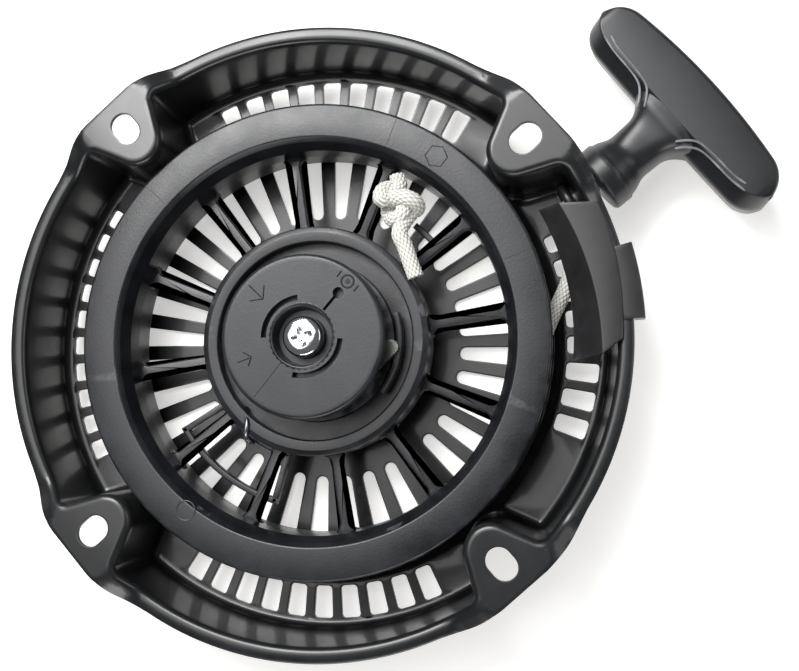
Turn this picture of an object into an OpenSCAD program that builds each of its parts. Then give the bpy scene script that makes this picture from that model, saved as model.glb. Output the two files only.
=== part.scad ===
// Recoil starter for a small single-cylinder engine.
// Origin: on the reel axis, in the plane of the four bolting pads.
// +Z points to the engine, so the open side of the housing faces up.
// +X runs through one bolt slot and lies 2 degrees from the rope's pull.

/* [Housing] */
// Outer radius of the rim lip
rim_r = 98; // [90:1:110]
// Depth of the rim lip below the pads
rim_drop = 5; // [3:0.5:8]
// Sheet thickness of the housing
sheet_t = 1.5; // [1:0.1:2.5]
// Depth of the outer floor below the pads, inside
floor_depth = 31; // [30:0.5:40]
// Further depth of the middle of the floor
floor_step = 5.5; // [5:0.5:9]
// Width of the turned-out rim lip
lip_w = 3.4; // [2.5:0.1:5]
// Slope of the side wall, as a loss of radius over its height
wall_draft = 1.8; // [0:0.1:3]

/* [Bolting pads] */
// Distance from the rim's outer edge in to the middle of the bolt slots
bolt_inset = 9; // [8.5:0.5:12]
// Width of a bolt slot
bolt_slot_w = 8; // [5:0.5:9]
// Length of a bolt slot, end to end
bolt_slot_l = 10.5; // [9.5:0.5:12]
// How far a pad's flat outer edge stands out past the rim
pad_overhang = 1; // [0:0.5:4]
// Half width of a pad at its outer edge
pad_half_w = 16.5; // [14:0.5:18]
// Radius of a pad's round inner end
pad_nose_r = 8.5; // [7:0.5:10]
// Distance from the rim's outer edge in to a pad's inner end
pad_reach = 22; // [18:0.5:22]

/* [Cooling slots] */
// Number of outer slots between two pads
outer_slots = 10; // [4:1:11]
// Outer slots left out at the far end of the rope guide's quarter
blank_slots = 2; // [0:1:4]
// Angle from one outer slot to the next
outer_pitch = 6; // [5.5:0.1:6.5]
// Width of an outer slot, as an angle
outer_slot_a = 3.9; // [2.5:0.1:4.5]
// Length of an outer slot along the radius
outer_slot_l = 10.5; // [6:0.5:11]
// Number of inner slots
inner_slots = 36; // [18:1:36]
// Width of an inner slot, as an angle
inner_slot_a = 5.4; // [3:0.1:6]
// Radius where the inner slots start
inner_slot_r0 = 43; // [40:0.5:50]
// Length of an inner slot along the radius
inner_slot_l = 24; // [15:0.5:24]

/* [Reel] */
// Outer radius of the reel's flanges
flange_r = 74; // [72:0.5:75]
// Depth of the reel's front face below the pads
reel_drop = 6; // [5.5:0.5:8]
// Thickness of the front flange
flange_t = 3; // [2:0.1:3.5]
// Thickness of the rear flange
rear_flange_t = 2.2; // [1.5:0.1:3]
// Width of the rope groove
groove_w = 16.4; // [15.5:0.1:17]
// Radius of the bottom of the rope groove
groove_r = 62.4; // [60:0.2:64]
// Wall between the groove and the reel's windows
drum_wall = 2.4; // [1.8:0.1:3]
// Number of spokes
spokes = 12; // [8:1:16]
// Width of a spoke
spoke_w = 3; // [2:0.1:5]
// Thickness of the spokes
spoke_t = 4; // [3:0.5:6]
// Depth of the spokes below the pads
spoke_drop = 19; // [17:0.5:21]
// Outer radius of the hub ring
hub_ring_r = 36; // [34:0.5:40]
// Inner radius of the hub ring and of the spring cup
cup_r = 31; // [29:0.5:32]
// Depth of the hub ring below the pads
hub_ring_drop = 11; // [10.9:0.1:12]
// Thickness of the hub floor that carries the ratchets
hub_floor_t = 3; // [2:0.5:4]
// Wall around the post in the hub
hub_tube_wall = 3.4; // [2.5:0.1:4]

/* [Post and screw] */
// Radius of the centre post
post_r = 7; // [6:0.1:8]
// Running clearance of the reel on the post, on the radius
run_fit = 0.05; // [0.02:0.01:0.1]
// Radius of the post's upper journal
journal_r = 4.5; // [4:0.1:5]
// Radius of the set screw's shank
screw_r = 2.95; // [2.5:0.05:3.2]
// Radius of the set screw's head
screw_head_r = 6.2; // [5.5:0.1:7]
// Height of the set screw's head
screw_head_h = 3.2; // [2.5:0.1:4]

/* [Ratchets] */
// Radius of the circle that the ratchet pins lie on
ratchet_pin_at = 17; // [16.5:0.1:17.5]
// Radius of a ratchet pin
ratchet_pin_r = 3; // [2.5:0.1:3.2]
// Distance from a ratchet's pin to the centre of its tip
ratchet_l = 20; // [18:0.2:20.4]
// Thickness of a ratchet
ratchet_t = 3.6; // [3:0.1:3.8]
// Radius of a ratchet's tip
ratchet_tip_r = 2.3; // [2:0.1:2.6]
// Outward swing of a ratchet
ratchet_swing = 25; // [15:1:25]
// Lag of the guide behind the reel when the ratchets are out
guide_lag = 35; // [30:1:35]

/* [Ratchet guide] */
// Radius of the guide disc
guide_r = 25; // [24:0.5:26]
// Height of the guide's face above the pads
guide_top = 5; // [4.5:0.5:6]
// Thickness of the guide's front plate
guide_plate_t = 3.5; // [2.5:0.1:3.5]
// Radius of the recess around the screw
guide_recess_r = 9; // [8:0.5:10]

/* [Rope and handle] */
// Diameter of the rope
rope_d = 5; // [4:0.1:5]
// Number of turns on the full reel
rope_turns = 3; // [2:1:3]
// Direction of the pull, from +X
pull_a = -2; // [-6:1:4]
// Place of the eyelet around the wall, from +X
eyelet_a = -13; // [-16:0.5:-11]
// Depth of the eyelet's centre below the pads
eyelet_drop = 20; // [19.5:0.5:20.5]
// Radius of the eyelet's throat
eyelet_throat_r = 3.7; // [3.5:0.1:4]
// Length of the handle's stem
stem_l = 25; // [22:1:40]
// Radius of the handle's stem
stem_r = 7.8; // [7:0.1:9]
// Radius of the collar at the stem's end
collar_r = 10.4; // [9:0.1:11.5]
// Length of the handle's cross bar
bar_l = 77; // [66:1:100]
// Width of the cross bar at its ends
bar_w = 17; // [16:0.5:22]
// Bulge of the bar's outer edge
bar_bulge = 3.5; // [1:0.5:6]
// Thickness of the cross bar
bar_t = 19; // [17.5:0.5:24]

/* [Rope guide] */
// Angle from the pull side where the rope guide starts
guide_block_a0 = -46.5; // [-50:0.5:-40]
// Angle where the rope guide ends
guide_block_a1 = -15.8; // [-20:0.1:-15.8]
// Depth of the rope guide's underside below the pads
guide_block_drop = 11.8; // [9:0.1:12]
// Thickness of the rope guide's body along the radius
guide_block_w = 12.5; // [8:0.5:14]

/* [Hidden] */
$fn = 96;
eps = 0.01;
gap = 0.3;              // clear space between bodies that pass each other

// Levels, all measured from the plane of the pads.
floor_z = -floor_depth;
deep_z = floor_z - floor_step;
reel_z = -reel_drop;
groove_z1 = reel_z - flange_t;
groove_z0 = groove_z1 - groove_w;
reel_back_z = deep_z + 1;
spoke_z = -spoke_drop;
hub_ring_z = -hub_ring_drop;
hub_floor_z = hub_ring_z - 2;
rope_r = rope_d / 2;
wrap_r = groove_r + rope_r + 0.1;
wall_in_r = rim_r - lip_w - sheet_t;
bolt_r = rim_r - bolt_inset;
pad_edge_r = rim_r + pad_overhang;
pad_nose_at = max(rim_r - pad_reach, flange_r + 2);
wall_r_mid = wall_in_r + sheet_t / 2 - wall_draft * (eyelet_drop - rim_drop) / (floor_depth - rim_drop);

// Housing profile.
bend_r = 3;             // inside radius of the wall's lower bend
step_r0 = flange_r - 5; // where the middle of the floor ends
step_r1 = flange_r + 3; // where the outer floor starts
foot_r = wall_in_r - wall_draft;

// Ratchet stack.
shoulder_r = ratchet_pin_r + 0.6;
ratchet_z0 = hub_ring_z + 0.6;
ratchet_z1 = ratchet_z0 + ratchet_t;
ratchet_pin_a = -100;
ratchet_tip_a = -5;     // direction from the pin to the tip
ratchet_eye_r = ratchet_pin_r + 2.2;
peg_r = 1.5;
peg_at = 9;
peg_z = ratchet_z1 + 3;

// Ratchet guide.
cam_z0 = ratchet_z1 + 1;
cam_t = 2.8;
cam_r = guide_r - 3.5;
guide_plate_z = guide_top - guide_plate_t;
recess_z = guide_top - 3;
post_top = recess_z + 0.2;
post_shoulder_z = recess_z - 3.5;
hub_top_z = ratchet_z1 + 0.2;
washer_h = 0.7;

// Springs.
strip_t = 0.6;
strip_w = 15;
strip_z = deep_z + 3;
strip_turns = 7;
strip_steps = 24;

// Eyelet and the rope's route through it.
bead_r = 1.6;
bead_at = eyelet_throat_r + bead_r;
bead_out = sheet_t / 2 + bead_r + 0.65;
eyelet_z = -eyelet_drop;
eyelet = wall_r_mid * [cos(eyelet_a), sin(eyelet_a)];
bend_c = eyelet - bead_out * [cos(eyelet_a), sin(eyelet_a)]
  + bead_at * [cos(eyelet_a - 90), sin(eyelet_a - 90)];
bend_at = bead_r + rope_r + 0.2;
bend_c_r = norm(bend_c);
bend_c_a = atan2(bend_c[1], bend_c[0]);
// The rope leaves the reel on a line that touches the wrap and the bend, both on their left.
lead_a = bend_c_a + asin((wrap_r - bend_at) / bend_c_r);
leave_a = lead_a - 90;
last_turn_z = groove_z0 + rope_r + gap;
turn_pitch = (groove_w - 2 * rope_r - 2 * gap) / max(rope_turns - 1, 1);
leave = wrap_r * [cos(leave_a), sin(leave_a)];

// Handle frame: origin on the pull line, u along the pull, z as the part.
pull = [cos(pull_a), sin(pull_a)];
line_p = bend_c + bend_at * [cos(pull_a + 90), sin(pull_a + 90)];
mouth_u = (eyelet + (bead_out + bead_r) * [cos(eyelet_a), sin(eyelet_a)] - line_p) * pull + 2.4;
stem_u0 = mouth_u + gap;
bar_u0 = stem_u0 + stem_l;
pocket_l = 13;
pocket_w = 16;
pocket_u0 = bar_u0 + 2;
cover_t = 2;
washer_t = 1.2;
rope_bore_r = rope_r + 0.4;

// Angle of the first spoke.
spoke_a0 = -3;
// Middle of the rope knot's window.
knot_a = 14;
// Place of the hole that takes the rope through the drum.
rope_hole_a = knot_a + 8;
rope_hole_z = groove_z1 - rope_r - 0.8;
// Middle of the pocket that holds the spring's outer end.
pocket_a = 191.5;

// Radius of the spring's strip at its two ends.
strip_r1 = cup_r - 0.8;
strip_r0 = post_r + 1;

// The knot sits against the drum's inner wall; its tail lies over the hub ring.
knot_r = 48.5;
knot_w = 13;
knot_z = spoke_z + knot_w / 2 + 0.5;

// The rope's way from its cut end over the hub ring, through the knot and down to its hole.
knot_route = let (
    out = [cos(rope_hole_a), sin(rope_hole_a), 0],
    level = [0, 0, rope_hole_z],
    top = [knot_r * cos(knot_a), knot_r * sin(knot_a), knot_z],
    low = (groove_r - drum_wall - rope_r) * out + level)
  [[36 * cos(-13), 36 * sin(-13), hub_ring_z + rope_r + 0.2],
   top, top + 0.75 * (low - top) , low, (groove_r - 0.1) * out + level];

// The rope's way from the reel through the eyelet: straight, round the bead, straight.
lead_dir = [cos(lead_a), sin(lead_a)];
bend_start = bend_c + bend_at * [cos(lead_a + 90), sin(lead_a + 90)];
run_l = norm(bend_start - leave);
lead_route = concat(
  [for (t = [0.2 / run_l, 0.25, 0.5, 0.75]) let (p = leave + t * run_l * lead_dir)
    [p[0], p[1], last_turn_z + t * (eyelet_z - last_turn_z)]],
  [for (p = arc(bend_c, bend_at, lead_a + 90, pull_a + 90, 5)) [p[0], p[1], eyelet_z]],
  [let (p = line_p + mouth_u * pull) [p[0], p[1], eyelet_z]]);

// Points on an arc about c, from a0 to a1, in n steps.
function arc(c, r, a0, a1, n) = [for (i = [0:n]) c + r * [cos(a0 + (a1 - a0) * i / n), sin(a0 + (a1 - a0) * i / n)]];

// Moves its children into the handle's frame.
module at_handle() {
  translate([line_p[0], line_p[1], eyelet_z])
    rotate([0, 0, pull_a])
      children();
}

// A rod along u in the handle's frame, from u0 to u1.
module rod_u(u0, u1, r) {
  translate([u0, 0, 0])
    rotate([0, 90, 0])
      cylinder(h = u1 - u0, r = r);
}

// A cylinder from p to q.
module rod(p, q, r) {
  d = q - p;
  translate(p)
    rotate([0, acos(d[2] / norm(d)), atan2(d[1], d[0])])
      cylinder(h = norm(d), r = r);
}

// Swept tube of round section along a route that never turns straight up.
module tube(route, r, sides) {
  last = len(route) - 1;
  dirs = [for (i = [0:last]) let (d = route[min(i + 1, last)] - route[max(i - 1, 0)]) d / norm(d)];
  rings = [for (i = [0:last]) let (
      side = cross([0, 0, 1], dirs[i]) / norm(cross([0, 0, 1], dirs[i])),
      up = cross(dirs[i], side))
    for (j = [0:sides - 1]) route[i] + r * (cos(j * 360 / sides) * side + sin(j * 360 / sides) * up)];
  walls = [for (i = [0:last - 1], j = [0:sides - 1]) let (k = (j + 1) % sides)
    [i * sides + j, (i + 1) * sides + j, (i + 1) * sides + k, i * sides + k]];
  polyhedron(rings, concat(walls,
    [[for (j = [0:sides - 1]) j], [for (j = [sides - 1:-1:0]) last * sides + j]]), convexity = 4);
}

// Centre line of a wire coil about Z with straight legs that leave it along its tangents.
function coil_route(ring_r, z, turns, pitch, leg0, leg1) = let (
    n = ceil(turns * 24),
    a1 = 360 * turns,
    pt = function(a) [ring_r * cos(a), ring_r * sin(a), z + pitch * a / 360])
  concat([pt(0) - [0, leg0, 0]], [for (i = [0:n]) pt(a1 * i / n)],
    [pt(a1) + leg1 * [-sin(a1), cos(a1), 0]]);

// Flat sector between two radii and two angles.
module sector(r0, r1, a0, a1) {
  steps = ceil((a1 - a0) / 3);
  polygon(concat(arc([0, 0], r0, a0, a1, steps), arc([0, 0], r1, a1, a0, steps)));
}

// ---- housing ----

// Outline of a pad, pointing out along +X; grow makes it wider all round.
module pad_outline(grow, far) {
  nose = pad_nose_r + grow;
  nose_c = [pad_nose_at + pad_nose_r, 0];
  side = pad_half_w + grow;
  open_a = 90 + atan2(side - nose, pad_edge_r - nose_c[0]);
  polygon(concat([[far, -side], [pad_edge_r, -side]],
    arc(nose_c, nose, -open_a, -360 + open_a, 14),
    [[pad_edge_r, side], [far, side]]));
}

// Sheet profile of the bowl: lip, wall, bend, outer floor, step, middle floor.
module bowl_profile() {
  inner = concat(
    [[rim_r, -rim_drop]],
    arc([wall_in_r + lip_w * 0.6, -rim_drop - lip_w * 0.6], lip_w * 0.6, 90, 180, 5),
    arc([foot_r - bend_r, floor_z + bend_r], bend_r, 0, -90, 5),
    [[step_r1, floor_z], [step_r0, deep_z], [0, deep_z]]);
  outer = concat(
    [[0, deep_z - sheet_t], [step_r0 + 0.5, deep_z - sheet_t], [step_r1 + 0.5, floor_z - sheet_t]],
    arc([foot_r - bend_r, floor_z + bend_r], bend_r + sheet_t, -90, 0, 5),
    arc([wall_in_r + lip_w * 0.6 + sheet_t, -rim_drop - lip_w * 0.6 - sheet_t], lip_w * 0.6, 180, 90, 5),
    [[rim_r, -rim_drop - sheet_t]]);
  polygon(concat(inner, outer));
}

// A slot with rounded corners along +X, with a constant angle a.
module cooling_slot(r0, length, a, corner) {
  w0 = r0 * tan(a / 2);
  w1 = (r0 + length) * tan(a / 2);
  c0 = min(corner, w0 - eps);
  c1 = min(corner, w1 - eps);
  polygon(concat(
    arc([r0 + c0, -w0 + c0], c0, -90, -180, 4),
    arc([r0 + c0, w0 - c0], c0, 180, 90, 4),
    arc([r0 + length - c1, w1 - c1], c1, 90, 0, 4),
    arc([r0 + length - c1, -w1 + c1], c1, 0, -90, 4)));
}

// A pad's top plate with its short side skirts, and the lobe that reaches the floor.
module pad_walls() {
  skirt = rim_drop + sheet_t;
  translate([0, 0, -skirt])
    linear_extrude(skirt)
      intersection() {
        pad_outline(0, pad_edge_r);
        circle(r = pad_edge_r + 1.2);
      }
  translate([0, 0, floor_z - sheet_t])
    linear_extrude(-floor_z)
      intersection() {
        pad_outline(0, pad_edge_r);
        circle(r = foot_r + sheet_t / 2);
      }
}

module bolt_slot() {
  half = (bolt_slot_l - bolt_slot_w) / 2;
  for (s = [-1, 1])
    translate([bolt_r + s * half, 0, -sheet_t - 1])
      cylinder(h = sheet_t + 2, r = bolt_slot_w / 2);
  translate([bolt_r - half, -bolt_slot_w / 2, -sheet_t - 1])
    cube([2 * half, bolt_slot_w, sheet_t + 2]);
}

module housing() {
  color([0.06, 0.06, 0.07])
    difference() {
      union() {
        rotate_extrude($fn = 180)
          bowl_profile();
        for (k = [0:3])
          rotate([0, 0, 90 * k])
            pad_walls();
      }
      // The space behind each pad, open to the outside, where the bolt goes in.
      for (k = [0:3])
        rotate([0, 0, 90 * k])
          translate([0, 0, deep_z - sheet_t - 1])
            linear_extrude(-deep_z + 1)
              pad_outline(-sheet_t, pad_edge_r + 10);
      for (k = [0:3])
        rotate([0, 0, 90 * k])
          bolt_slot();
      for (k = [0:3], j = [k < 3 ? 0 : blank_slots:outer_slots - 1])
        rotate([0, 0, 45 + 90 * k + (j - (outer_slots - 1) / 2) * outer_pitch])
          translate([0, 0, floor_z - sheet_t - 1])
            linear_extrude(sheet_t + 2)
              cooling_slot(foot_r - bend_r - outer_slot_l, outer_slot_l, outer_slot_a, 1.2);
      for (j = [0:inner_slots - 1])
        rotate([0, 0, (j + 0.5) * 360 / inner_slots])
          translate([0, 0, deep_z - sheet_t - 1])
            linear_extrude(sheet_t + 2)
              cooling_slot(inner_slot_r0, inner_slot_l, inner_slot_a, 3);
      // Hole for the eyelet.
      translate([0, 0, eyelet_z])
        rotate([0, 0, eyelet_a])
          translate([wall_in_r - 8, 0, 0])
            rotate([0, 90, 0])
              cylinder(h = 16, r = eyelet_throat_r + 1);
      // Hole for the post's riveted foot.
      translate([0, 0, deep_z - sheet_t - 1])
        cylinder(h = sheet_t + 2, r = post_r - 1.5);
    }
}

module centre_post() {
  color([0.55, 0.55, 0.57])
    difference() {
      union() {
        translate([0, 0, deep_z])
          cylinder(h = post_shoulder_z - deep_z, r = post_r);
        translate([0, 0, deep_z - sheet_t])
          cylinder(h = sheet_t + 1, r = post_r - 1.5);
        translate([0, 0, post_shoulder_z - 1])
          cylinder(h = post_top - post_shoulder_z + 1, r = journal_r);
      }
      // Threaded hole for the set screw.
      translate([0, 0, post_top - 14])
        cylinder(h = 15, r = screw_r + 0.05);
      // Slot that holds the spiral spring's inner end.
      translate([0, -strip_t, strip_z - 1])
        cube([post_r + 1, 2 * strip_t, strip_w + 2]);
    }
}

module set_screw() {
  head_z = post_top + 0.05;
  color([0.82, 0.83, 0.85])
    difference() {
      union() {
        translate([0, 0, head_z - 12])
          cylinder(h = 12.5, r = screw_r);
        translate([0, 0, head_z])
          rotate_extrude()
            polygon(concat([[0, 0], [screw_head_r, 0]],
              arc([screw_head_r - 1.4, screw_head_h - 1.4], 1.4, 0, 60, 4),
              [[screw_head_r - 2.6, screw_head_h], [0, screw_head_h]]));
      }
      // Cross recess.
      for (a = [0, 90])
        rotate([0, 0, a + 20])
          translate([-3, -0.6, head_z + screw_head_h - 1.6])
            cube([6, 1.2, 2]);
    }
}

module thrust_washer() {
  color([0.7, 0.7, 0.72])
    translate([0, 0, hub_top_z])
      difference() {
        cylinder(h = washer_h, r = post_r + hub_tube_wall - 0.1);
        translate([0, 0, -1])
          cylinder(h = 3, r = post_r + 0.1);
      }
}

module rope_guide() {
  a0 = guide_block_a0;
  a1 = guide_block_a1;
  out_r = wall_in_r - wall_draft * 0.4 - gap;
  top_z = -rim_drop + 1.8;
  tab_mid = (a0 + a1) / 2 - 1;
  color([0.1, 0.1, 0.11])
    difference() {
      union() {
        translate([0, 0, -guide_block_drop])
          linear_extrude(top_z + guide_block_drop)
            sector(out_r - guide_block_w, out_r, a0, a1);
        translate([0, 0, -rim_drop])
          linear_extrude(1.8)
            sector(out_r - 2, rim_r - 1, a0, a1);
        translate([0, 0, -rim_drop])
          linear_extrude(1.8)
            sector(rim_r - 2, rim_r + 2.2, tab_mid - 6.5, tab_mid + 6.5);
        translate([0, 0, -rim_drop - 6])
          linear_extrude(7)
            sector(rim_r + 0.2, rim_r + 2.2, tab_mid - 6.5, tab_mid + 6.5);
      }
      // Scooped inner face, so the rope and the reel pass clear of it.
      translate([0, 0, -guide_block_drop - 1])
        cylinder(h = guide_block_drop, r1 = flange_r + 5, r2 = flange_r + 11.5);
    }
}

module rope_eyelet() {
  color([0.75, 0.75, 0.77])
    translate([eyelet[0], eyelet[1], eyelet_z])
      rotate([0, 0, eyelet_a])
        rotate([0, 90, 0])
          rotate_extrude() {
            for (s = [-1, 1])
              translate([bead_at, s * bead_out])
                circle(r = bead_r, $fn = 40);
            translate([eyelet_throat_r, -bead_out])
              square([0.95, 2 * bead_out]);
          }
}

// ---- reel ----

module reel_profile() {
  drum_in = groove_r - drum_wall;
  // Drum with both flanges.
  polygon([
    [drum_in, groove_z0 - rear_flange_t], [flange_r, groove_z0 - rear_flange_t],
    [flange_r, groove_z0], [groove_r, groove_z0], [groove_r, groove_z1],
    [flange_r, groove_z1], [flange_r, reel_z], [drum_in + 3.2, reel_z],
    [drum_in, reel_z - 6]]);
  // Hub ring and spring cup.
  polygon([
    [cup_r, hub_ring_z], [hub_ring_r, hub_ring_z], [hub_ring_r, spoke_z - spoke_t - 0.8],
    [hub_ring_r - 1.5, spoke_z - spoke_t - 2.8], [hub_ring_r - 1.5, reel_back_z], [cup_r, reel_back_z]]);
  // Hub floor.
  translate([post_r + run_fit, hub_floor_z - hub_floor_t])
    square([cup_r + 1 - post_r - run_fit, hub_floor_t]);
  // Bearing tube on the post.
  translate([post_r + run_fit, hub_floor_z - hub_floor_t])
    square([hub_tube_wall - run_fit, hub_top_z - hub_floor_z + hub_floor_t]);
}

module reel() {
  drum_in = groove_r - drum_wall;
  span = drum_in - hub_ring_r;
  color([0.13, 0.13, 0.14])
    difference() {
      union() {
        rotate_extrude($fn = 180)
          reel_profile();
        for (k = [0:spokes - 1])
          rotate([0, 0, spoke_a0 + 360 / spokes * k])
            translate([hub_ring_r - 1, -spoke_w / 2, spoke_z - spoke_t])
              cube([span + 2, spoke_w, spoke_t]);
        // Bridge that ties two spokes behind the knot.
        translate([0, 0, spoke_z - spoke_t + 0.5])
          linear_extrude(spoke_t - 1)
            sector(hub_ring_r + span / 2 - 1, hub_ring_r + span / 2 + 1, spoke_a0, spoke_a0 + 12);
        // Arc band and short ribs of the spring-end pocket.
        translate([0, 0, spoke_z - spoke_t + 0.5])
          linear_extrude(spoke_t - 1)
            difference() {
              sector(hub_ring_r - 1, hub_ring_r + span * 0.68, pocket_a - 22, pocket_a + 22);
              sector(hub_ring_r + 2, hub_ring_r + span * 0.55, pocket_a - 18, pocket_a + 18);
            }
        // Pins and shoulders for the two ratchets.
        for (a = [ratchet_pin_a, ratchet_pin_a + 180])
          rotate([0, 0, a])
            translate([ratchet_pin_at, 0, hub_floor_z - 1]) {
              cylinder(h = ratchet_z0 - gap - hub_floor_z + 1, r = shoulder_r);
              cylinder(h = ratchet_z1 + 0.4 - hub_floor_z + 1, r = ratchet_pin_r);
            }
      }
      // Rope hole in the drum, below the knot.
      rotate([0, 0, rope_hole_a])
        translate([drum_in - 4, 0, rope_hole_z])
          rotate([0, 90, 0])
            cylinder(h = drum_wall + 6, r = rope_r + 0.3);
      // Notch in the hub ring for the spring's outer end.
      rotate([0, 0, pocket_a])
        translate([cup_r - 1, -3, hub_ring_z - 7.5])
          cube([hub_ring_r - cup_r + 2, 6, 9]);
    }
}

// Radius of the spring's strip at turn t: loose at the middle, packed at the cup.
function strip_r(t) = strip_r0 + (strip_r1 - strip_r0) * pow(t / strip_turns, 0.7);
function strip_pt(i, off) = (strip_r(i / strip_steps) + off)
  * [cos(i * 360 / strip_steps), sin(i * 360 / strip_steps)];

module spiral_spring() {
  n = strip_turns * strip_steps;
  color([0.35, 0.37, 0.42])
    translate([0, 0, strip_z])
      linear_extrude(strip_w) {
        polygon(concat(
          [for (i = [0:n]) strip_pt(i, 0)],
          [for (i = [n:-1:0]) strip_pt(i, -strip_t)]));
        // Inner end, hooked into the post.
        translate([post_r - 2, -strip_t / 2])
          square([2.6, strip_t]);
      }
}

// Ratchet and its spring in their own frame: pin at the origin, tip along +X.
module ratchet_shape() {
  difference() {
    union() {
      translate([0, 0, ratchet_z0])
        linear_extrude(ratchet_t)
          hull() {
            circle(r = ratchet_eye_r - 1.2, $fn = 32);
            translate([ratchet_l, 0])
              circle(r = ratchet_tip_r, $fn = 32);
          }
      translate([0, 0, ratchet_z0])
        cylinder(h = ratchet_t, r = ratchet_eye_r);
      translate([peg_at, 0, ratchet_z1 - 1])
        cylinder(h = peg_z - ratchet_z1 + 1, r = peg_r);
    }
    translate([0, 0, ratchet_z0 - 1])
      cylinder(h = ratchet_t + 2, r = ratchet_pin_r + run_fit);
  }
}

module at_ratchet(side) {
  rotate([0, 0, side])
    translate([ratchet_pin_at * cos(ratchet_pin_a), ratchet_pin_at * sin(ratchet_pin_a), 0])
      rotate([0, 0, ratchet_tip_a])
        children();
}

module ratchet_spring_shape() {
  wire = 0.4;
  tube(coil_route(shoulder_r + wire + 0.1, hub_floor_z + wire + 0.1, 1.5, 1, 3, 6), wire, 8);
}

module ratchet_a() {
  color([0.5, 0.54, 0.52])
    at_ratchet(0)
      ratchet_shape();
}

module ratchet_b() {
  color([0.5, 0.54, 0.52])
    at_ratchet(180)
      ratchet_shape();
}

module ratchet_spring_a() {
  color([0.8, 0.8, 0.8])
    at_ratchet(0)
      ratchet_spring_shape();
}

module ratchet_spring_b() {
  color([0.8, 0.8, 0.8])
    at_ratchet(180)
      ratchet_spring_shape();
}

// Path of a ratchet's peg as the guide sees it, for a share t of the lag.
function peg_path(t) = let (
    pin = ratchet_pin_at * [cos(ratchet_pin_a), sin(ratchet_pin_a)],
    dir = ratchet_tip_a - ratchet_swing * t,
    p = pin + peg_at * [cos(dir), sin(dir)],
    back = guide_lag * t)
  [p[0] * cos(back) - p[1] * sin(back), p[0] * sin(back) + p[1] * cos(back)];

module ratchet_guide() {
  skirt_a0 = -10;
  skirt_a1 = 40;
  color([0.2, 0.2, 0.21])
    difference() {
      union() {
        rotate_extrude($fn = 128)
          polygon(concat(
            [[journal_r + run_fit, guide_plate_z - 2.5], [guide_recess_r + 2, guide_plate_z - 2.5],
             [guide_recess_r + 2, guide_plate_z], [guide_r, guide_plate_z]],
            arc([guide_r - 1, guide_top - 1], 1, 0, 90, 4),
            [[guide_recess_r, guide_top], [guide_recess_r, recess_z], [journal_r + run_fit, recess_z]]));
        // Cam plate, tied to the front plate by the wall around it.
        rotate_extrude($fn = 128)
          polygon([[post_r + 2.9, cam_z0], [cam_r, cam_z0], [cam_r, guide_plate_z + 1],
            [cam_r - 2, guide_plate_z + 1], [cam_r - 2, cam_z0 + cam_t], [post_r + 2.9, cam_z0 + cam_t]]);
        // Two deep skirts over the ratchets' backs.
        for (s = [0, 180])
          translate([0, 0, cam_z0 - 2.6])
            linear_extrude(guide_plate_z - cam_z0 + 3.6)
              sector(guide_r - 2.4, guide_r - 0.5, skirt_a0 + s, skirt_a1 + s);
      }
      // Cam slots for the pegs.
      for (s = [0, 180], t = [0:0.125:1])
        rotate([0, 0, s])
          translate([peg_path(t)[0], peg_path(t)[1], cam_z0 - 1])
            cylinder(h = cam_t + 2, r = peg_r + gap);
      // Two arc slots that free a springy ring around the recess.
      for (s = [[55, 140], [215, 315]])
        translate([0, 0, guide_plate_z - 3.5])
          linear_extrude(guide_plate_t + 5)
            sector(guide_recess_r + 2.2, guide_recess_r + 3.2, s[0], s[1]);
      // Slit and relief hole.
      rotate([0, 0, 8]) {
        translate([guide_recess_r - 1, -0.4, guide_top - 1.2])
          cube([8.5, 0.8, 2]);
        translate([17, 0, guide_top - 1.2])
          cylinder(h = 2, r = 1.8);
      }
    }
}

module friction_spring() {
  wire = 0.75;
  color([0.75, 0.76, 0.78])
    tube(coil_route(post_r + wire + 0.15, hub_top_z + washer_h + wire + 0.05, 2, 1.6, 2, 4), wire, 8);
}

// ---- rope ----

module rope_coils() {
  color([0.93, 0.93, 0.9])
    for (k = [0:rope_turns - 1])
      translate([0, 0, last_turn_z + k * turn_pitch])
        rotate([0, 0, k == 0 ? leave_a - 300 : 0])
          rotate_extrude(angle = k == 0 ? 300 : 360, $fn = 180)
            translate([wrap_r, 0])
              circle(r = rope_r, $fn = 32);
}

module rope_knot() {
  color([0.95, 0.95, 0.92])
    union() {
      translate([knot_r * cos(knot_a), knot_r * sin(knot_a), knot_z])
        rotate([0, 0, rope_hole_a])
          rotate([0, 90, 0])
            translate([0, 0, -8])
              rotate_extrude($fn = 48)
                polygon(concat([[0, 0]], arc([0, 8], knot_w / 2, -70, 70, 12), [[0, 16]]));
      tube(knot_route, rope_r, 16);
    }
}

module rope_lead() {
  color([0.93, 0.93, 0.9])
    tube(lead_route, rope_r, 12);
}

module rope_pull() {
  color([0.93, 0.93, 0.9])
    at_handle()
      rod_u(mouth_u, pocket_u0 + washer_t, rope_r);
}

// ---- handle ----

// Outline of the cross bar in the handle's frame, shrunk by inset.
module bar_outline(inset) {
  corner = 7;
  half = bar_l / 2 - corner;
  offset(r = -inset)
    hull() {
      for (v = [-1, 1])
        translate([bar_u0 + corner, v * half])
          circle(r = corner, $fn = 32);
      for (v = [-1:0.25:1])
        translate([bar_u0 + bar_w - corner + bar_bulge * (1 - v * v), v * half])
          circle(r = corner, $fn = 32);
    }
}

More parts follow.
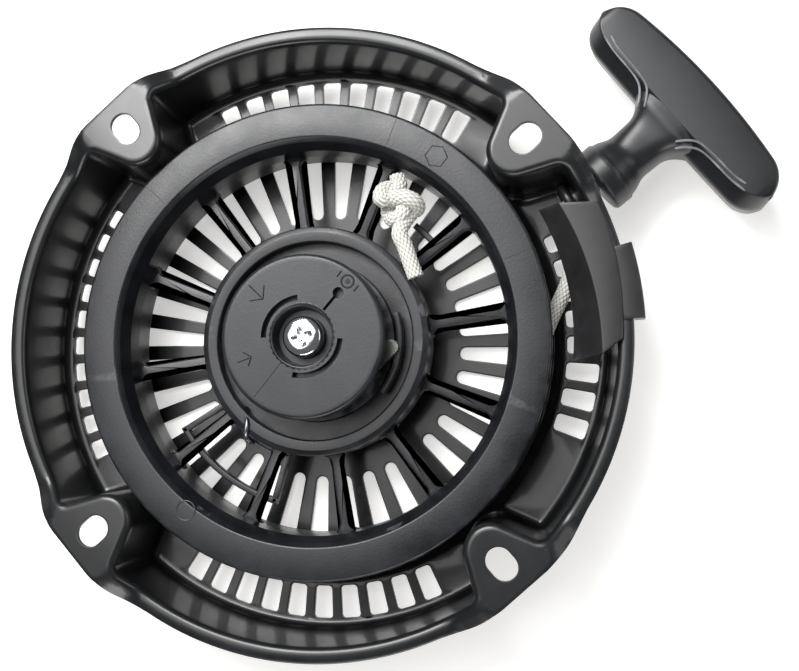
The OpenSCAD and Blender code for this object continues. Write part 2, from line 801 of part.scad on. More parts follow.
module handle_grip() {
  color([0.16, 0.17, 0.18])
    at_handle()
      difference() {
        union() {
          translate([0, 0, -bar_t / 2])
            linear_extrude(bar_t)
              bar_outline(0);
          rod_u(stem_u0, bar_u0 + 4, stem_r);
          // Collar, and the flare where the stem meets the bar.
          translate([stem_u0, 0, 0])
            rotate([0, 90, 0])
              rotate_extrude()
                polygon([[0, 0], [collar_r - 1, 0], [collar_r, 1], [collar_r, 6], [stem_r, 11], [0, 11]]);
        }
        rod_u(stem_u0 - 1, bar_u0 + 6, rope_bore_r);
        // Pocket for the knot, open at the back, and the recess of its cover.
        translate([pocket_u0, -pocket_w / 2, -bar_t / 2 - 1])
          cube([pocket_l, pocket_w, bar_t / 2 + 8]);
        translate([0, 0, -bar_t / 2 - 1])
          linear_extrude(cover_t + 1)
            bar_outline(1.5);
      }
}

module handle_cover() {
  color([0.14, 0.14, 0.15])
    at_handle()
      translate([0, 0, -bar_t / 2])
        linear_extrude(cover_t - 0.05)
          bar_outline(1.6);
}

module handle_washer() {
  color([0.75, 0.75, 0.77])
    at_handle()
      difference() {
        rod_u(pocket_u0 + 0.05, pocket_u0 + washer_t, 6);
        rod_u(pocket_u0 - 1, pocket_u0 + 3, rope_bore_r);
      }
}

module handle_knot() {
  color([0.93, 0.93, 0.9])
    at_handle()
      translate([pocket_u0 + washer_t + 5, 0, 0])
        sphere(r = 5, $fn = 48);
}

housing();
centre_post();
set_screw();
thrust_washer();
rope_guide();
rope_eyelet();
reel();
spiral_spring();
ratchet_a();
ratchet_b();
ratchet_spring_a();
ratchet_spring_b();
ratchet_guide();
friction_spring();
rope_coils();
rope_knot();
rope_lead();
rope_pull();
handle_grip();
handle_cover();
handle_washer();
handle_knot();
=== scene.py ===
"""Recoil starter: the finished look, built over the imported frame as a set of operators."""

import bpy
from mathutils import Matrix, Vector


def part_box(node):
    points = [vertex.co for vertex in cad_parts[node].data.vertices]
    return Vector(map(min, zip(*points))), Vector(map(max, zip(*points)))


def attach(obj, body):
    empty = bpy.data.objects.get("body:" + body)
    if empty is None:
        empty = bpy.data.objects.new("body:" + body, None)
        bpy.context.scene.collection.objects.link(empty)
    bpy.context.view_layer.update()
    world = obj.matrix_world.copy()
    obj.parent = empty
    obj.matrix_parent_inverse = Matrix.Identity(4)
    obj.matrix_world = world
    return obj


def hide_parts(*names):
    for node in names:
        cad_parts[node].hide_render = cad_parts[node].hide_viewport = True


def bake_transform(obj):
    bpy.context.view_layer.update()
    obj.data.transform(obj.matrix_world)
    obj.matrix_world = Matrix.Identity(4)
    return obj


bl_info = {
    "name": "Recoil Starter Looks",
    "version": (1, 0, 0),
    "blender": (4, 5, 0),
    "location": "3D View > Sidebar > Recoil Starter",
    "description": "Builds the pressed housing, reel, rope and handle of a recoil starter, with finishes",
    "category": "Mesh",
}

import math

import bmesh
import bpy
import numpy as np
from bpy.props import FloatProperty, FloatVectorProperty, IntProperty, PointerProperty
from mathutils import Matrix, Vector
from mathutils.geometry import delaunay_2d_cdt

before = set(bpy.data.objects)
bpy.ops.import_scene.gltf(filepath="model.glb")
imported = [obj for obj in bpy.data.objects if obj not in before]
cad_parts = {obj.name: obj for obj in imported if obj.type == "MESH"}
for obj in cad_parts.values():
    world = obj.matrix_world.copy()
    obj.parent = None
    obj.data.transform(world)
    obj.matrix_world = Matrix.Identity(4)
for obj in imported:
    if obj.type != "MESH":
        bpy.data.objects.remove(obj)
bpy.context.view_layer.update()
MM = 0.001


def node_low(name):
    """Lowest corner of a CAD node, in millimetres."""
    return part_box(name)[0] / MM


def node_high(name):
    """Highest corner of a CAD node, in millimetres."""
    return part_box(name)[1] / MM


# ---- sizes and colours that a user would change ----


class HousingSizes(bpy.types.PropertyGroup):
    """Sizes of the pressed housing"""

    rim_radius: FloatProperty(name="Rim radius", description="Outer radius of the turned-out rim",
                              default=0.098, min=0.09, max=0.11, unit="LENGTH", precision=4)
    rim_drop: FloatProperty(name="Rim drop", description="Depth of the rim below the bolting pads",
                            default=0.005, min=0.003, max=0.008, unit="LENGTH", precision=4)
    sheet: FloatProperty(name="Sheet", description="Thickness of the pressed sheet",
                         default=0.0015, min=0.001, max=0.0025, unit="LENGTH", precision=4)
    floor_depth: FloatProperty(name="Floor depth", description="Depth of the outer floor below the pads",
                               default=0.031, min=0.03, max=0.04, unit="LENGTH", precision=4)
    inner_slots: IntProperty(name="Inner slots", description="Cooling slots around the middle",
                             default=36, min=18, max=36)
    outer_slots: IntProperty(name="Outer slots", description="Cooling slots between two pads",
                             default=10, min=4, max=11)
    blank_slots: IntProperty(name="Blank slots",
                             description="Outer slots left out at the far end of the rope guide's quarter",
                             default=2, min=0, max=4)


class ReelSizes(bpy.types.PropertyGroup):
    """Sizes of the moulded reel"""

    spokes: IntProperty(name="Spokes", description="Number of spokes", default=12, min=8, max=16)
    spoke_width: FloatProperty(name="Spoke width", description="Width of a spoke at its waist",
                               default=0.003, min=0.002, max=0.005, unit="LENGTH", precision=4)
    edge: FloatProperty(name="Edge", description="Radius of the moulded edges",
                        default=0.0006, min=0.0002, max=0.001, unit="LENGTH", precision=4)


class RopeSizes(bpy.types.PropertyGroup):
    """Sizes of the braided rope"""

    diameter: FloatProperty(name="Rope diameter", description="Diameter of the braided rope",
                            default=0.005, min=0.004, max=0.005, unit="LENGTH", precision=4)
    carriers: IntProperty(name="Carriers", description="Strands of the braid that run each way",
                          default=10, min=6, max=16)
    travel: FloatProperty(name="Pull", description="Length of rope that the handle draws out",
                          default=1.0, min=0.5, max=1.2, unit="LENGTH")


class HandleSizes(bpy.types.PropertyGroup):
    """Sizes of the T handle"""

    bar_length: FloatProperty(name="Bar length", description="Length of the cross bar, end to end",
                              default=0.077, min=0.066, max=0.1, unit="LENGTH", precision=4)
    bar_width: FloatProperty(name="Bar width", description="Width of the cross bar at its ends",
                             default=0.017, min=0.016, max=0.022, unit="LENGTH", precision=4)
    stem_radius: FloatProperty(name="Stem radius", description="Radius of the stem",
                               default=0.0078, min=0.007, max=0.009, unit="LENGTH", precision=4)


class FinishColours(bpy.types.PropertyGroup):
    """Base colours of the finishes"""

    paint: FloatVectorProperty(name="Paint", description="Housing paint", subtype="COLOR", size=3,
                               default=(0.0042, 0.0046, 0.0054), min=0, max=1)
    reel: FloatVectorProperty(name="Reel", description="Moulded reel", subtype="COLOR", size=3,
                              default=(0.0055, 0.006, 0.0075), min=0, max=1)
    guide: FloatVectorProperty(name="Guide disc", description="Moulded guide disc", subtype="COLOR", size=3,
                               default=(0.0065, 0.007, 0.0085), min=0, max=1)
    grip: FloatVectorProperty(name="Grip", description="Moulded handle", subtype="COLOR", size=3,
                              default=(0.009, 0.0098, 0.0115), min=0, max=1)
    rope: FloatVectorProperty(name="Rope", description="Braided nylon", subtype="COLOR", size=3,
                              default=(0.8, 0.79, 0.73), min=0, max=1)


# ---- outlines ----


def arc(cx, cy, r, a0, a1, n):
    """Points on an arc, from angle a0 to a1 in degrees, in n steps."""
    return [(cx + r * math.cos(math.radians(a0 + (a1 - a0) * i / n)),
             cy + r * math.sin(math.radians(a0 + (a1 - a0) * i / n))) for i in range(n + 1)]


def turned(points, degrees):
    """Plan points turned about the reel axis."""
    c, s = math.cos(math.radians(degrees)), math.sin(math.radians(degrees))
    return [(x * c - y * s, x * s + y * c) for x, y in points]


def eased(corners, steps=4):
    """Closed outline whose corners (x, y, radius) are rounded."""
    out = []
    count = len(corners)
    for i, (x, y, r) in enumerate(corners):
        p = Vector((x, y))
        a = Vector(corners[i - 1][:2]) - p
        b = Vector(corners[(i + 1) % count][:2]) - p
        half = a.angle(b) / 2
        if r < 1e-6 or half > math.radians(89):
            out.append((x, y))
            continue
        reach = min(r / math.tan(half), a.length * 0.49, b.length * 0.49)
        r = reach * math.tan(half)
        centre = p + (a.normalized() + b.normalized()).normalized() * (r / math.sin(half))
        start, end = p + a.normalized() * reach - centre, p + b.normalized() * reach - centre
        sweep = start.angle_signed(end)
        for k in range(steps + 1):
            t = -sweep * k / steps
            out.append((centre.x + start.x * math.cos(t) - start.y * math.sin(t),
                        centre.y + start.x * math.sin(t) + start.y * math.cos(t)))
    return out


def outward(points):
    """Unit normals that point out of a closed counter-clockwise outline."""
    p = np.array(points, float)
    e0 = p - np.roll(p, 1, 0)
    e1 = np.roll(p, -1, 0) - p
    e0 /= np.linalg.norm(e0, axis=1)[:, None] + 1e-12
    e1 /= np.linalg.norm(e1, axis=1)[:, None] + 1e-12
    n = np.c_[e0[:, 1] + e1[:, 1], -e0[:, 0] - e1[:, 0]]
    n /= np.linalg.norm(n, axis=1)[:, None] + 1e-12
    return n / np.maximum((n * np.c_[e0[:, 1], -e0[:, 0]]).sum(1), 0.5)[:, None]


def polar(r, degrees, z):
    """Point at a radius, an angle and a height."""
    return (r * math.cos(math.radians(degrees)), r * math.sin(math.radians(degrees)), z)


def counter_clockwise(points):
    """Closed outline in counter-clockwise order."""
    p = np.array(points, float)
    q = np.roll(p, -1, 0)
    return list(points) if (p[:, 0] * q[:, 1] - q[:, 0] * p[:, 1]).sum() > 0 else list(points)[::-1]


def moved(points, distance):
    """Outline moved outward by a distance."""
    p = np.array(points, float)
    return [tuple(x) for x in p + outward(points) * distance]


def inside(outline, points):
    """Which of the points lie in the outline."""
    p, q = np.array(outline, float), np.array(points, float)
    hit = np.zeros(len(q), bool)
    for (x0, y0), (x1, y1) in zip(p, np.roll(p, -1, 0)):
        if y0 == y1:
            continue
        across = (y0 > q[:, 1]) != (y1 > q[:, 1])
        hit ^= across & (q[:, 0] < (x1 - x0) * (q[:, 1] - y0) / (y1 - y0) + x0)
    return hit


def ease(x):
    """Smooth step from 0 to 1."""
    x = np.clip(x, 0, 1)
    return x * x * (3 - 2 * x)


# ---- solids and sheets, all drawn in millimetres ----


def bridge(bm, a, b):
    """Quads between two closed rings of vertices."""
    n = len(a)
    for i in range(n):
        j = (i + 1) % n
        corners = (a[i], a[j], b[j], b[i])
        face = [v for k, v in enumerate(corners) if v not in corners[:k]]
        if len(face) > 2 and bm.faces.get(face) is None:
            bm.faces.new(face)


def ring_of(bm, points, z=None):
    """Vertices at points, or at plan points and one height."""
    if z is None:
        return [bm.verts.new(p) for p in points]
    return [bm.verts.new((x, y, z)) for x, y in points]


def slab(bm, outline, z0, z1, edge=0.4, low_edge=None, steps=3):
    """Flat moulded plate with eased edges."""
    outline = counter_clockwise(outline)
    low_edge = edge if low_edge is None else low_edge
    n = outward(outline)
    p = np.array(outline, float)
    rings = []
    for k in range(steps + 1):
        a = math.radians(90 * k / steps)
        q = p - n * low_edge * (1 - math.sin(a))
        rings.append([(x, y, z0 + low_edge * (1 - math.cos(a))) for x, y in q])
    for k in range(steps + 1):
        a = math.radians(90 * k / steps)
        q = p - n * edge * (1 - math.cos(a))
        rings.append([(x, y, z1 - edge * (1 - math.sin(a))) for x, y in q])
    rows = [ring_of(bm, r) for r in rings]
    for a, b in zip(rows, rows[1:]):
        bridge(bm, a, b)
    bm.faces.new(rows[0][::-1])
    bm.faces.new(rows[-1])


def lathe(bm, profile, steps=180, a0=0.0, a1=360.0):
    """Turned solid from a closed (radius, height) profile, whole or a sector."""
    whole = abs(a1 - a0) > 359.9
    count = steps if whole else steps + 1
    rows = []
    poles = {}
    for i in range(count):
        a = math.radians(a0 + (a1 - a0) * i / steps)
        row = []
        for k, (r, z) in enumerate(profile):
            if r < 1e-5:
                if k not in poles:
                    poles[k] = bm.verts.new((0, 0, z))
                row.append(poles[k])
            else:
                row.append(bm.verts.new((r * math.cos(a), r * math.sin(a), z)))
        rows.append(row)
    for i in range(count if whole else count - 1):
        bridge(bm, rows[i], rows[(i + 1) % count])
    if not whole:
        bm.faces.new(rows[0])
        bm.faces.new(rows[-1][::-1])


def lathe_at(bm, profile, steps, centre):
    """Turned solid about an upright axis away from the reel axis."""
    before = set(bm.verts)
    lathe(bm, profile, steps)
    fresh = [v for v in bm.verts if v not in before]
    bmesh.ops.translate(bm, vec=(centre[0], centre[1], 0), verts=fresh)


def loft(bm, rings):
    """Skin over rings of equal count, closed at both ends."""
    rows = [ring_of(bm, r) for r in rings]
    for a, b in zip(rows, rows[1:]):
        bridge(bm, a, b)
    for row in (rows[0], rows[-1]):
        middle = bm.verts.new(sum((v.co for v in row), Vector()) / len(row))
        for i, v in enumerate(row):
            bm.faces.new((v, row[(i + 1) % len(row)], middle))


def resampled(route, step, tension=0.5):
    """Smooth line through the route's points, with points a step apart."""
    p = [Vector(q) for q in route]
    p = [p[0] * 2 - p[1]] + p + [p[-1] * 2 - p[-2]]
    fine = []
    for i in range(1, len(p) - 2):
        n = max(2, int((p[i + 1] - p[i]).length / step * 2))
        m0, m1 = (p[i + 1] - p[i - 1]) * tension, (p[i + 2] - p[i]) * tension
        for k in range(n):
            t = k / n
            fine.append(p[i] * (2 * t ** 3 - 3 * t ** 2 + 1) + m0 * (t ** 3 - 2 * t ** 2 + t)
                        + p[i + 1] * (3 * t ** 2 - 2 * t ** 3) + m1 * (t ** 3 - t ** 2))
    fine.append(p[-2])
    q = np.array(fine)
    s = np.r_[0, np.cumsum(np.linalg.norm(np.diff(q, axis=0), axis=1))]
    grid = np.linspace(0, s[-1], max(3, int(round(s[-1] / step)) + 1))
    return np.c_[[np.interp(grid, s, q[:, k]) for k in range(3)]].T


def frames_along(line):
    """Tangents and two side directions that don't twist along a line."""
    t = np.gradient(line, axis=0)
    t /= np.linalg.norm(t, axis=1)[:, None]
    start = np.array([0, 0, 1.0]) if abs(t[0][2]) < 0.9 else np.array([1.0, 0, 0])
    side = start - t[0] * (start @ t[0])
    sides = []
    for d in t:
        side = side - d * (side @ d)
        side /= np.linalg.norm(side)
        sides.append(side)
    sides = np.array(sides)
    return t, sides, np.cross(t, sides)


def wire(bm, route, r, step=0.8, sides=12, smooth=True):
    """Round bar along a route, with closed ends."""
    line = resampled(route, step) if smooth else np.array(route, float)
    _, u, v = frames_along(line)
    rings = []
    radii = np.full(len(line), r)
    radii[0] = radii[-1] = r * 0.75
    for p, a, b, q in zip(line, u, v, radii):
        rings.append([tuple(p + q * (math.cos(2 * math.pi * k / sides) * a
                                     + math.sin(2 * math.pi * k / sides) * b)) for k in range(sides)])
    loft(bm, rings)


# Length of one diamond of the braid, along the rope.
BRAID_CELL = 2.1


def braid(bm, line, r, carriers, sides=40, relief=0.42):
    """Braided rope along a line, with the strands in its surface and the weave in its UV map."""
    uv = bm.loops.layers.uv.verify()
    _, u, v = frames_along(line)
    s = np.r_[0, np.cumsum(np.linalg.norm(np.diff(line, axis=0), axis=1))]
    fans = np.arange(sides) / sides
    rows = []
    for i, p in enumerate(line):
        x = fans * carriers
        y = s[i] / BRAID_CELL
        bump = np.abs(np.sin(math.pi * (x + y)) * np.sin(math.pi * (x - y))) ** 0.5
        q = r - relief + relief * 1.25 * bump
        ring = [p + q[k] * (math.cos(2 * math.pi * fans[k]) * u[i] + math.sin(2 * math.pi * fans[k]) * v[i])
                for k in range(sides)]
        rows.append([bm.verts.new(w) for w in ring])
    for i in range(len(rows) - 1):
        for k in range(sides):
            j = (k + 1) % sides
            face = bm.faces.new((rows[i][k], rows[i][j], rows[i + 1][j], rows[i + 1][k]))
            for loop, (a, b) in zip(face.loops, ((k, i), (k + 1, i), (k + 1, i + 1), (k, i + 1))):
                loop[uv].uv = (a / sides * carriers, s[b] / BRAID_CELL)
    for row, p in ((rows[0], line[0]), (rows[-1], line[-1])):
        middle = bm.verts.new(p)
        for k in range(sides):
            bm.faces.new((row[k], row[(k + 1) % sides], middle))


def filled(bm, outer, holes, height, extra=(), edge_ring=0.0):
    """Triangulated sheet inside an outline with holes; height gives z from x and y."""
    points, edges = [], []

    def loop(outline):
        """Adds a closed outline as fixed edges."""
        base = len(points)
        points.extend(outline)
        edges.extend((base + i, base + (i + 1) % len(outline)) for i in range(len(outline)))

    loop(outer)
    for hole in holes:
        loop(hole)
        if edge_ring:
            loop(moved(counter_clockwise(hole), edge_ring))
    points.extend(extra)
    got = delaunay_2d_cdt([Vector(p) for p in points], edges, [], 0, 1e-6)
    flat = np.array([tuple(v) for v in got[0]], float)
    tris = np.array([f for f in got[2] if len(f) == 3])
    centres = flat[tris].mean(1)
    keep = inside(outer, centres)
    for hole in holes:
        near = keep & (np.abs(centres - np.mean(hole, 0)).max(1) < np.ptp(hole, 0).max() + 1)
        idx = np.where(near)[0]
        keep[idx[inside(hole, centres[idx])]] = False
    z = height(flat[:, 0], flat[:, 1])
    verts = {}
    for tri in tris[keep]:
        face = []
        for k in tri:
            if k not in verts:
                verts[k] = bm.verts.new((flat[k, 0], flat[k, 1], z[k]))
            face.append(verts[k])
        bm.faces.new(face)


def new_piece(name, bm, finish, body, nodes=(), sharp=40.0, weld=0.0, outwards=True):
    """Mesh object in metres that rides on a body and stands for CAD nodes."""
    if weld:
        bmesh.ops.remove_doubles(bm, verts=bm.verts, dist=weld)
    if outwards:
        bmesh.ops.recalc_face_normals(bm, faces=bm.faces)
    bmesh.ops.scale(bm, vec=(MM, MM, MM), verts=bm.verts)
    mesh = bpy.data.meshes.new(name)
    bm.to_mesh(mesh)
    bm.free()
    obj = bpy.data.objects.new(name, mesh)
    bpy.context.scene.collection.objects.link(obj)
    mesh.materials.append(finish)
    shade(mesh, sharp)
    if body:
        settle(obj, body, nodes)
    return obj


def shade(mesh, sharp):
    """Smooth shading, with edges sharper than an angle kept hard."""
    mesh.polygons.foreach_set("use_smooth", [True] * len(mesh.polygons))
    mesh.set_sharp_from_angle(angle=math.radians(sharp))


def settle(obj, body, nodes=()):
    """Puts a piece on its body and hides the CAD nodes that it stands for."""
    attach(obj, body)
    if nodes:
        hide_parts(*nodes)


def baked(obj):
    """Replaces an object's mesh by its mesh with the modifiers applied."""
    dg = bpy.context.evaluated_depsgraph_get()
    mesh = bpy.data.meshes.new_from_object(obj.evaluated_get(dg))
    obj.modifiers.clear()
    obj.data = mesh
    return mesh


# ---- shader groups ----


def group_socket(tree, name, kind, out=False, default=None):
    """Named input or output of a shader group."""
    s = tree.interface.new_socket(name=name, in_out="OUTPUT" if out else "INPUT", socket_type=kind)
    if default is not None:
        s.default_value = default
    return s


def link(tree, a, b):
    """Joins an output to an input."""
    tree.links.new(a, b)


def math_node(tree, operation, a=None, b=None, value=None):
    """Math node on two sockets, or on a socket and a value."""
    n = tree.nodes.new("ShaderNodeMath")
    n.operation = operation
    for k, source in ((0, a), (1, b)):
        if source is not None:
            link(tree, source, n.inputs[k])
    if value is not None:
        n.inputs[1].default_value = value
    return n.outputs[0]


def noise(tree, vector, scale, detail=4.0, rough=0.55):
    """Noise texture's value."""
    n = tree.nodes.new("ShaderNodeTexNoise")
    n.inputs["Scale"].default_value = scale
    n.inputs["Detail"].default_value = detail
    n.inputs["Roughness"].default_value = rough
    link(tree, vector, n.inputs["Vector"])
    return n.outputs["Fac"]


def ranged(tree, source, lo, hi, to_lo, to_hi):
    """Value mapped from one range to another."""
    n = tree.nodes.new("ShaderNodeMapRange")
    for k, v in ((1, lo), (2, hi), (3, to_lo), (4, to_hi)):
        n.inputs[k].default_value = v
    link(tree, source, n.inputs[0])
    return n.outputs[0]


def moulded_grain_group():
    """Fine grain and slow mottling of moulded or painted surfaces."""
    name = "Moulded Grain"
    if name in bpy.data.node_groups:
        return bpy.data.node_groups[name]
    g = bpy.data.node_groups.new(name, "ShaderNodeTree")
    group_socket(g, "Vector", "NodeSocketVector")
    group_socket(g, "Grain Scale", "NodeSocketFloat", default=2600.0)
    group_socket(g, "Mottle Scale", "NodeSocketFloat", default=60.0)
    group_socket(g, "Height", "NodeSocketFloat", out=True)
    group_socket(g, "Mottle", "NodeSocketFloat", out=True)
    i, o = g.nodes.new("NodeGroupInput"), g.nodes.new("NodeGroupOutput")
    grain = g.nodes.new("ShaderNodeTexNoise")
    grain.inputs["Detail"].default_value = 3.0
    mottle = g.nodes.new("ShaderNodeTexNoise")
    mottle.inputs["Detail"].default_value = 6.0
    mottle.inputs["Roughness"].default_value = 0.62
    for n, s in ((grain, "Grain Scale"), (mottle, "Mottle Scale")):
        link(g, i.outputs["Vector"], n.inputs["Vector"])
        link(g, i.outputs[s], n.inputs["Scale"])
    link(g, grain.outputs["Fac"], o.inputs["Height"])
    link(g, mottle.outputs["Fac"], o.inputs["Mottle"])
    return g


def edge_wear_group():
    """Mask of the worn outer edges, broken up by noise."""
    name = "Edge Wear"
    if name in bpy.data.node_groups:
        return bpy.data.node_groups[name]
    g = bpy.data.node_groups.new(name, "ShaderNodeTree")
    group_socket(g, "Vector", "NodeSocketVector")
    group_socket(g, "Amount", "NodeSocketFloat", default=0.5)
    group_socket(g, "Mask", "NodeSocketFloat", out=True)
    i, o = g.nodes.new("NodeGroupInput"), g.nodes.new("NodeGroupOutput")
    geo = g.nodes.new("ShaderNodeNewGeometry")
    edge = ranged(g, geo.outputs["Pointiness"], 0.515, 0.56, 0.0, 1.0)
    patches = ranged(g, noise(g, i.outputs["Vector"], 220.0), 0.42, 0.62, 0.0, 1.0)
    both = math_node(g, "MULTIPLY", edge, patches)
    link(g, math_node(g, "MULTIPLY", both, i.outputs["Amount"]), o.inputs["Mask"])
    return g


def dust_group():
    """Specks and light smears, scattered by noise over every face."""
    name = "Settled Dust"
    if name in bpy.data.node_groups:
        return bpy.data.node_groups[name]
    g = bpy.data.node_groups.new(name, "ShaderNodeTree")
    group_socket(g, "Vector", "NodeSocketVector")
    group_socket(g, "Amount", "NodeSocketFloat", default=0.3)
    group_socket(g, "Mask", "NodeSocketFloat", out=True)
    i, o = g.nodes.new("NodeGroupInput"), g.nodes.new("NodeGroupOutput")
    specks = g.nodes.new("ShaderNodeTexVoronoi")
    specks.inputs["Scale"].default_value = 420.0
    link(g, i.outputs["Vector"], specks.inputs["Vector"])
    near = ranged(g, specks.outputs["Distance"], 0.05, 0.13, 1.0, 0.0)
    some = ranged(g, noise(g, i.outputs["Vector"], 90.0, 2.0), 0.55, 0.66, 0.0, 1.0)
    smear = ranged(g, noise(g, i.outputs["Vector"], 34.0, 8.0, 0.7), 0.45, 0.8, 0.0, 0.45)
    mask = math_node(g, "MAXIMUM", math_node(g, "MULTIPLY", near, some), smear)
    link(g, math_node(g, "MULTIPLY", mask, i.outputs["Amount"]), o.inputs["Mask"])
    return g


def weave_group():
    """Diamond weave of a braided rope from its UV map, with a mask for painted shade in its crevices."""
    name = "Rope Weave"
    if name in bpy.data.node_groups:
        return bpy.data.node_groups[name]
    g = bpy.data.node_groups.new(name, "ShaderNodeTree")
    group_socket(g, "Vector", "NodeSocketVector")
    group_socket(g, "Height", "NodeSocketFloat", out=True)
    group_socket(g, "Painted Crevice Shade", "NodeSocketFloat", out=True)
    i, o = g.nodes.new("NodeGroupInput"), g.nodes.new("NodeGroupOutput")
    xyz = g.nodes.new("ShaderNodeSeparateXYZ")
    link(g, i.outputs["Vector"], xyz.inputs[0])
    both = []
    for operation in ("ADD", "SUBTRACT"):
        d = math_node(g, operation, xyz.outputs[0], xyz.outputs[1])
        s = math_node(g, "SINE", math_node(g, "MULTIPLY", d, value=math.pi))
        both.append(math_node(g, "ABSOLUTE", s))
    product = math_node(g, "MULTIPLY", *both)
    height = math_node(g, "POWER", product, value=0.5)
    fibre = g.nodes.new("ShaderNodeTexWave")
    fibre.inputs["Scale"].default_value = 1.7
    fibre.inputs["Distortion"].default_value = 1.2
    fibre.bands_direction = "DIAGONAL"
    link(g, i.outputs["Vector"], fibre.inputs["Vector"])
    fine = math_node(g, "MULTIPLY", fibre.outputs["Fac"], value=0.16)
    link(g, math_node(g, "ADD", height, fine), o.inputs["Height"])
    # The crevice mask is painted shade between the strands.
    link(g, ranged(g, product, 0.0, 0.3, 1.0, 0.0), o.inputs["Painted Crevice Shade"])
    return g


# ---- finishes ----


def place_group(tree, group, vector, **values):
    """Places a shader group in a material with the material's own values."""
    n = tree.nodes.new("ShaderNodeGroup")
    n.node_tree = group
    link(tree, vector, n.inputs["Vector"])
    for key, v in values.items():
        n.inputs[key.replace("_", " ")].default_value = v
    return n


def tinted(colour, factor):
    """Colour made lighter or darker."""
    return tuple(min(1.0, c * factor) for c in colour)


def mixed(tree, mask, a, b):
    """Colour that goes from a to b with a mask; a may be a colour or a socket."""
    n = tree.nodes.new("ShaderNodeMix")
    n.data_type = "RGBA"
    link(tree, mask, n.inputs["Factor"])
    for socket, source in ((n.inputs[6], a), (n.inputs[7], b)):
        if isinstance(source, bpy.types.NodeSocket):
            link(tree, source, socket)
        else:
            socket.default_value = (*source[:3], 1.0)
    return n.outputs[2]


def finish_material(name, colour, alt=1.6, rough=(0.35, 0.5), grain=(2600.0, 0.12, 0.00008), mottle=60.0,
                    metallic=0.0, coat=0.0, coat_rough=0.05, wear=None, dust=None):
    """Moulded, painted or plated finish: mottled colour and roughness, fine grain, worn edges and dust."""
    if name in bpy.data.materials:
        return bpy.data.materials[name]
    m = bpy.data.materials.new(name)
    m.use_nodes = True
    t = m.node_tree
    shader = t.nodes["Principled BSDF"]
    where = t.nodes.new("ShaderNodeTexCoord").outputs["Object"]
    g = place_group(t, moulded_grain_group(), where, Grain_Scale=grain[0], Mottle_Scale=mottle)
    spread = ranged(t, g.outputs["Mottle"], 0.3, 0.7, 0.0, 1.0)
    base = mixed(t, spread, colour, tinted(colour, alt))
    roughness = ranged(t, g.outputs["Mottle"], 0.3, 0.7, rough[0], rough[1])
    if dust:
        d = place_group(t, dust_group(), where, Amount=dust)
        base = mixed(t, d.outputs["Mask"], base, (0.24, 0.235, 0.225))
        roughness = math_node(t, "ADD", roughness, math_node(t, "MULTIPLY", d.outputs["Mask"], value=0.5))
    if wear:
        w = place_group(t, edge_wear_group(), where, Amount=wear[1])
        base = mixed(t, w.outputs["Mask"], base, wear[0])
        roughness = math_node(t, "ADD", roughness, math_node(t, "MULTIPLY", w.outputs["Mask"], value=0.15))
    link(t, base, shader.inputs["Base Color"])
    link(t, roughness, shader.inputs["Roughness"])
    bump = t.nodes.new("ShaderNodeBump")
    bump.inputs["Strength"].default_value = grain[1]
    bump.inputs["Distance"].default_value = grain[2]
    link(t, g.outputs["Height"], bump.inputs["Height"])
    link(t, bump.outputs["Normal"], shader.inputs["Normal"])
    shader.inputs["Metallic"].default_value = metallic
    shader.inputs["Coat Weight"].default_value = coat
    shader.inputs["Coat Roughness"].default_value = coat_rough
    return m


def rope_material(colour):
    """Braided nylon: pale strands with painted shade in the crevices, a soft sheen and fine fibres."""
    name = "braided_nylon"
    if name in bpy.data.materials:
        return bpy.data.materials[name]
    m = bpy.data.materials.new(name)
    m.use_nodes = True
    t = m.node_tree
    shader = t.nodes["Principled BSDF"]
    coords = t.nodes.new("ShaderNodeTexCoord")
    g = place_group(t, weave_group(), coords.outputs["UV"])
    spread = noise(t, coords.outputs["Object"], 700.0, 3.0)
    strand = mixed(t, spread, tinted(colour, 1.08), tinted(colour, 0.9))
    # Strands darken to 0.42 of the rope's colour in the crevices: painted shade.
    base = mixed(t, g.outputs["Painted Crevice Shade"], strand, tinted(colour, 0.42))
    link(t, base, shader.inputs["Base Color"])
    link(t, ranged(t, g.outputs["Painted Crevice Shade"], 0, 1, 0.48, 0.75), shader.inputs["Roughness"])
    bump = t.nodes.new("ShaderNodeBump")
    bump.inputs["Strength"].default_value = 0.55
    bump.inputs["Distance"].default_value = 0.0003
    link(t, g.outputs["Height"], bump.inputs["Height"])
    link(t, bump.outputs["Normal"], shader.inputs["Normal"])
    shader.inputs["Sheen Weight"].default_value = 0.35
    shader.inputs["Sheen Roughness"].default_value = 0.4
    shader.inputs["Subsurface Weight"].default_value = 0.12
    shader.inputs["Subsurface Radius"].default_value = (0.0012, 0.001, 0.0008)
    return m


def paint():
    """Gloss black paint of the housing."""
    c = bpy.context.scene.recoil_finish.paint
    return finish_material("gloss_black_paint", c, alt=1.7, rough=(0.26, 0.4), grain=(900.0, 0.1, 0.00006),
                           mottle=45.0, coat=0.3, coat_rough=0.1, wear=((0.05, 0.052, 0.055), 0.4), dust=0.06)


def reel_plastic():
    """Moulded black plastic of the reel."""
    c = bpy.context.scene.recoil_finish.reel
    return finish_material("moulded_reel", c, alt=2.4, rough=(0.26, 0.4), grain=(1300.0, 0.3, 0.0001),
                           mottle=70.0, wear=((0.1, 0.102, 0.11), 0.6), dust=0.07)


def guide_plastic():
    """Moulded dark plastic of the guide disc."""
    c = bpy.context.scene.recoil_finish.guide
    return finish_material("moulded_guide_disc", c, alt=3.2, rough=(0.26, 0.42), grain=(1500.0, 0.3, 0.0001),
                           mottle=75.0, wear=((0.1, 0.103, 0.11), 0.4), dust=0.08)


def block_plastic():
    """Moulded black plastic of the guide block."""
    return finish_material("moulded_guide_block", (0.012, 0.012, 0.013), alt=1.7, rough=(0.26, 0.36),
                           grain=(1300.0, 0.12, 0.00008), wear=((0.1, 0.1, 0.11), 0.5), dust=0.08)


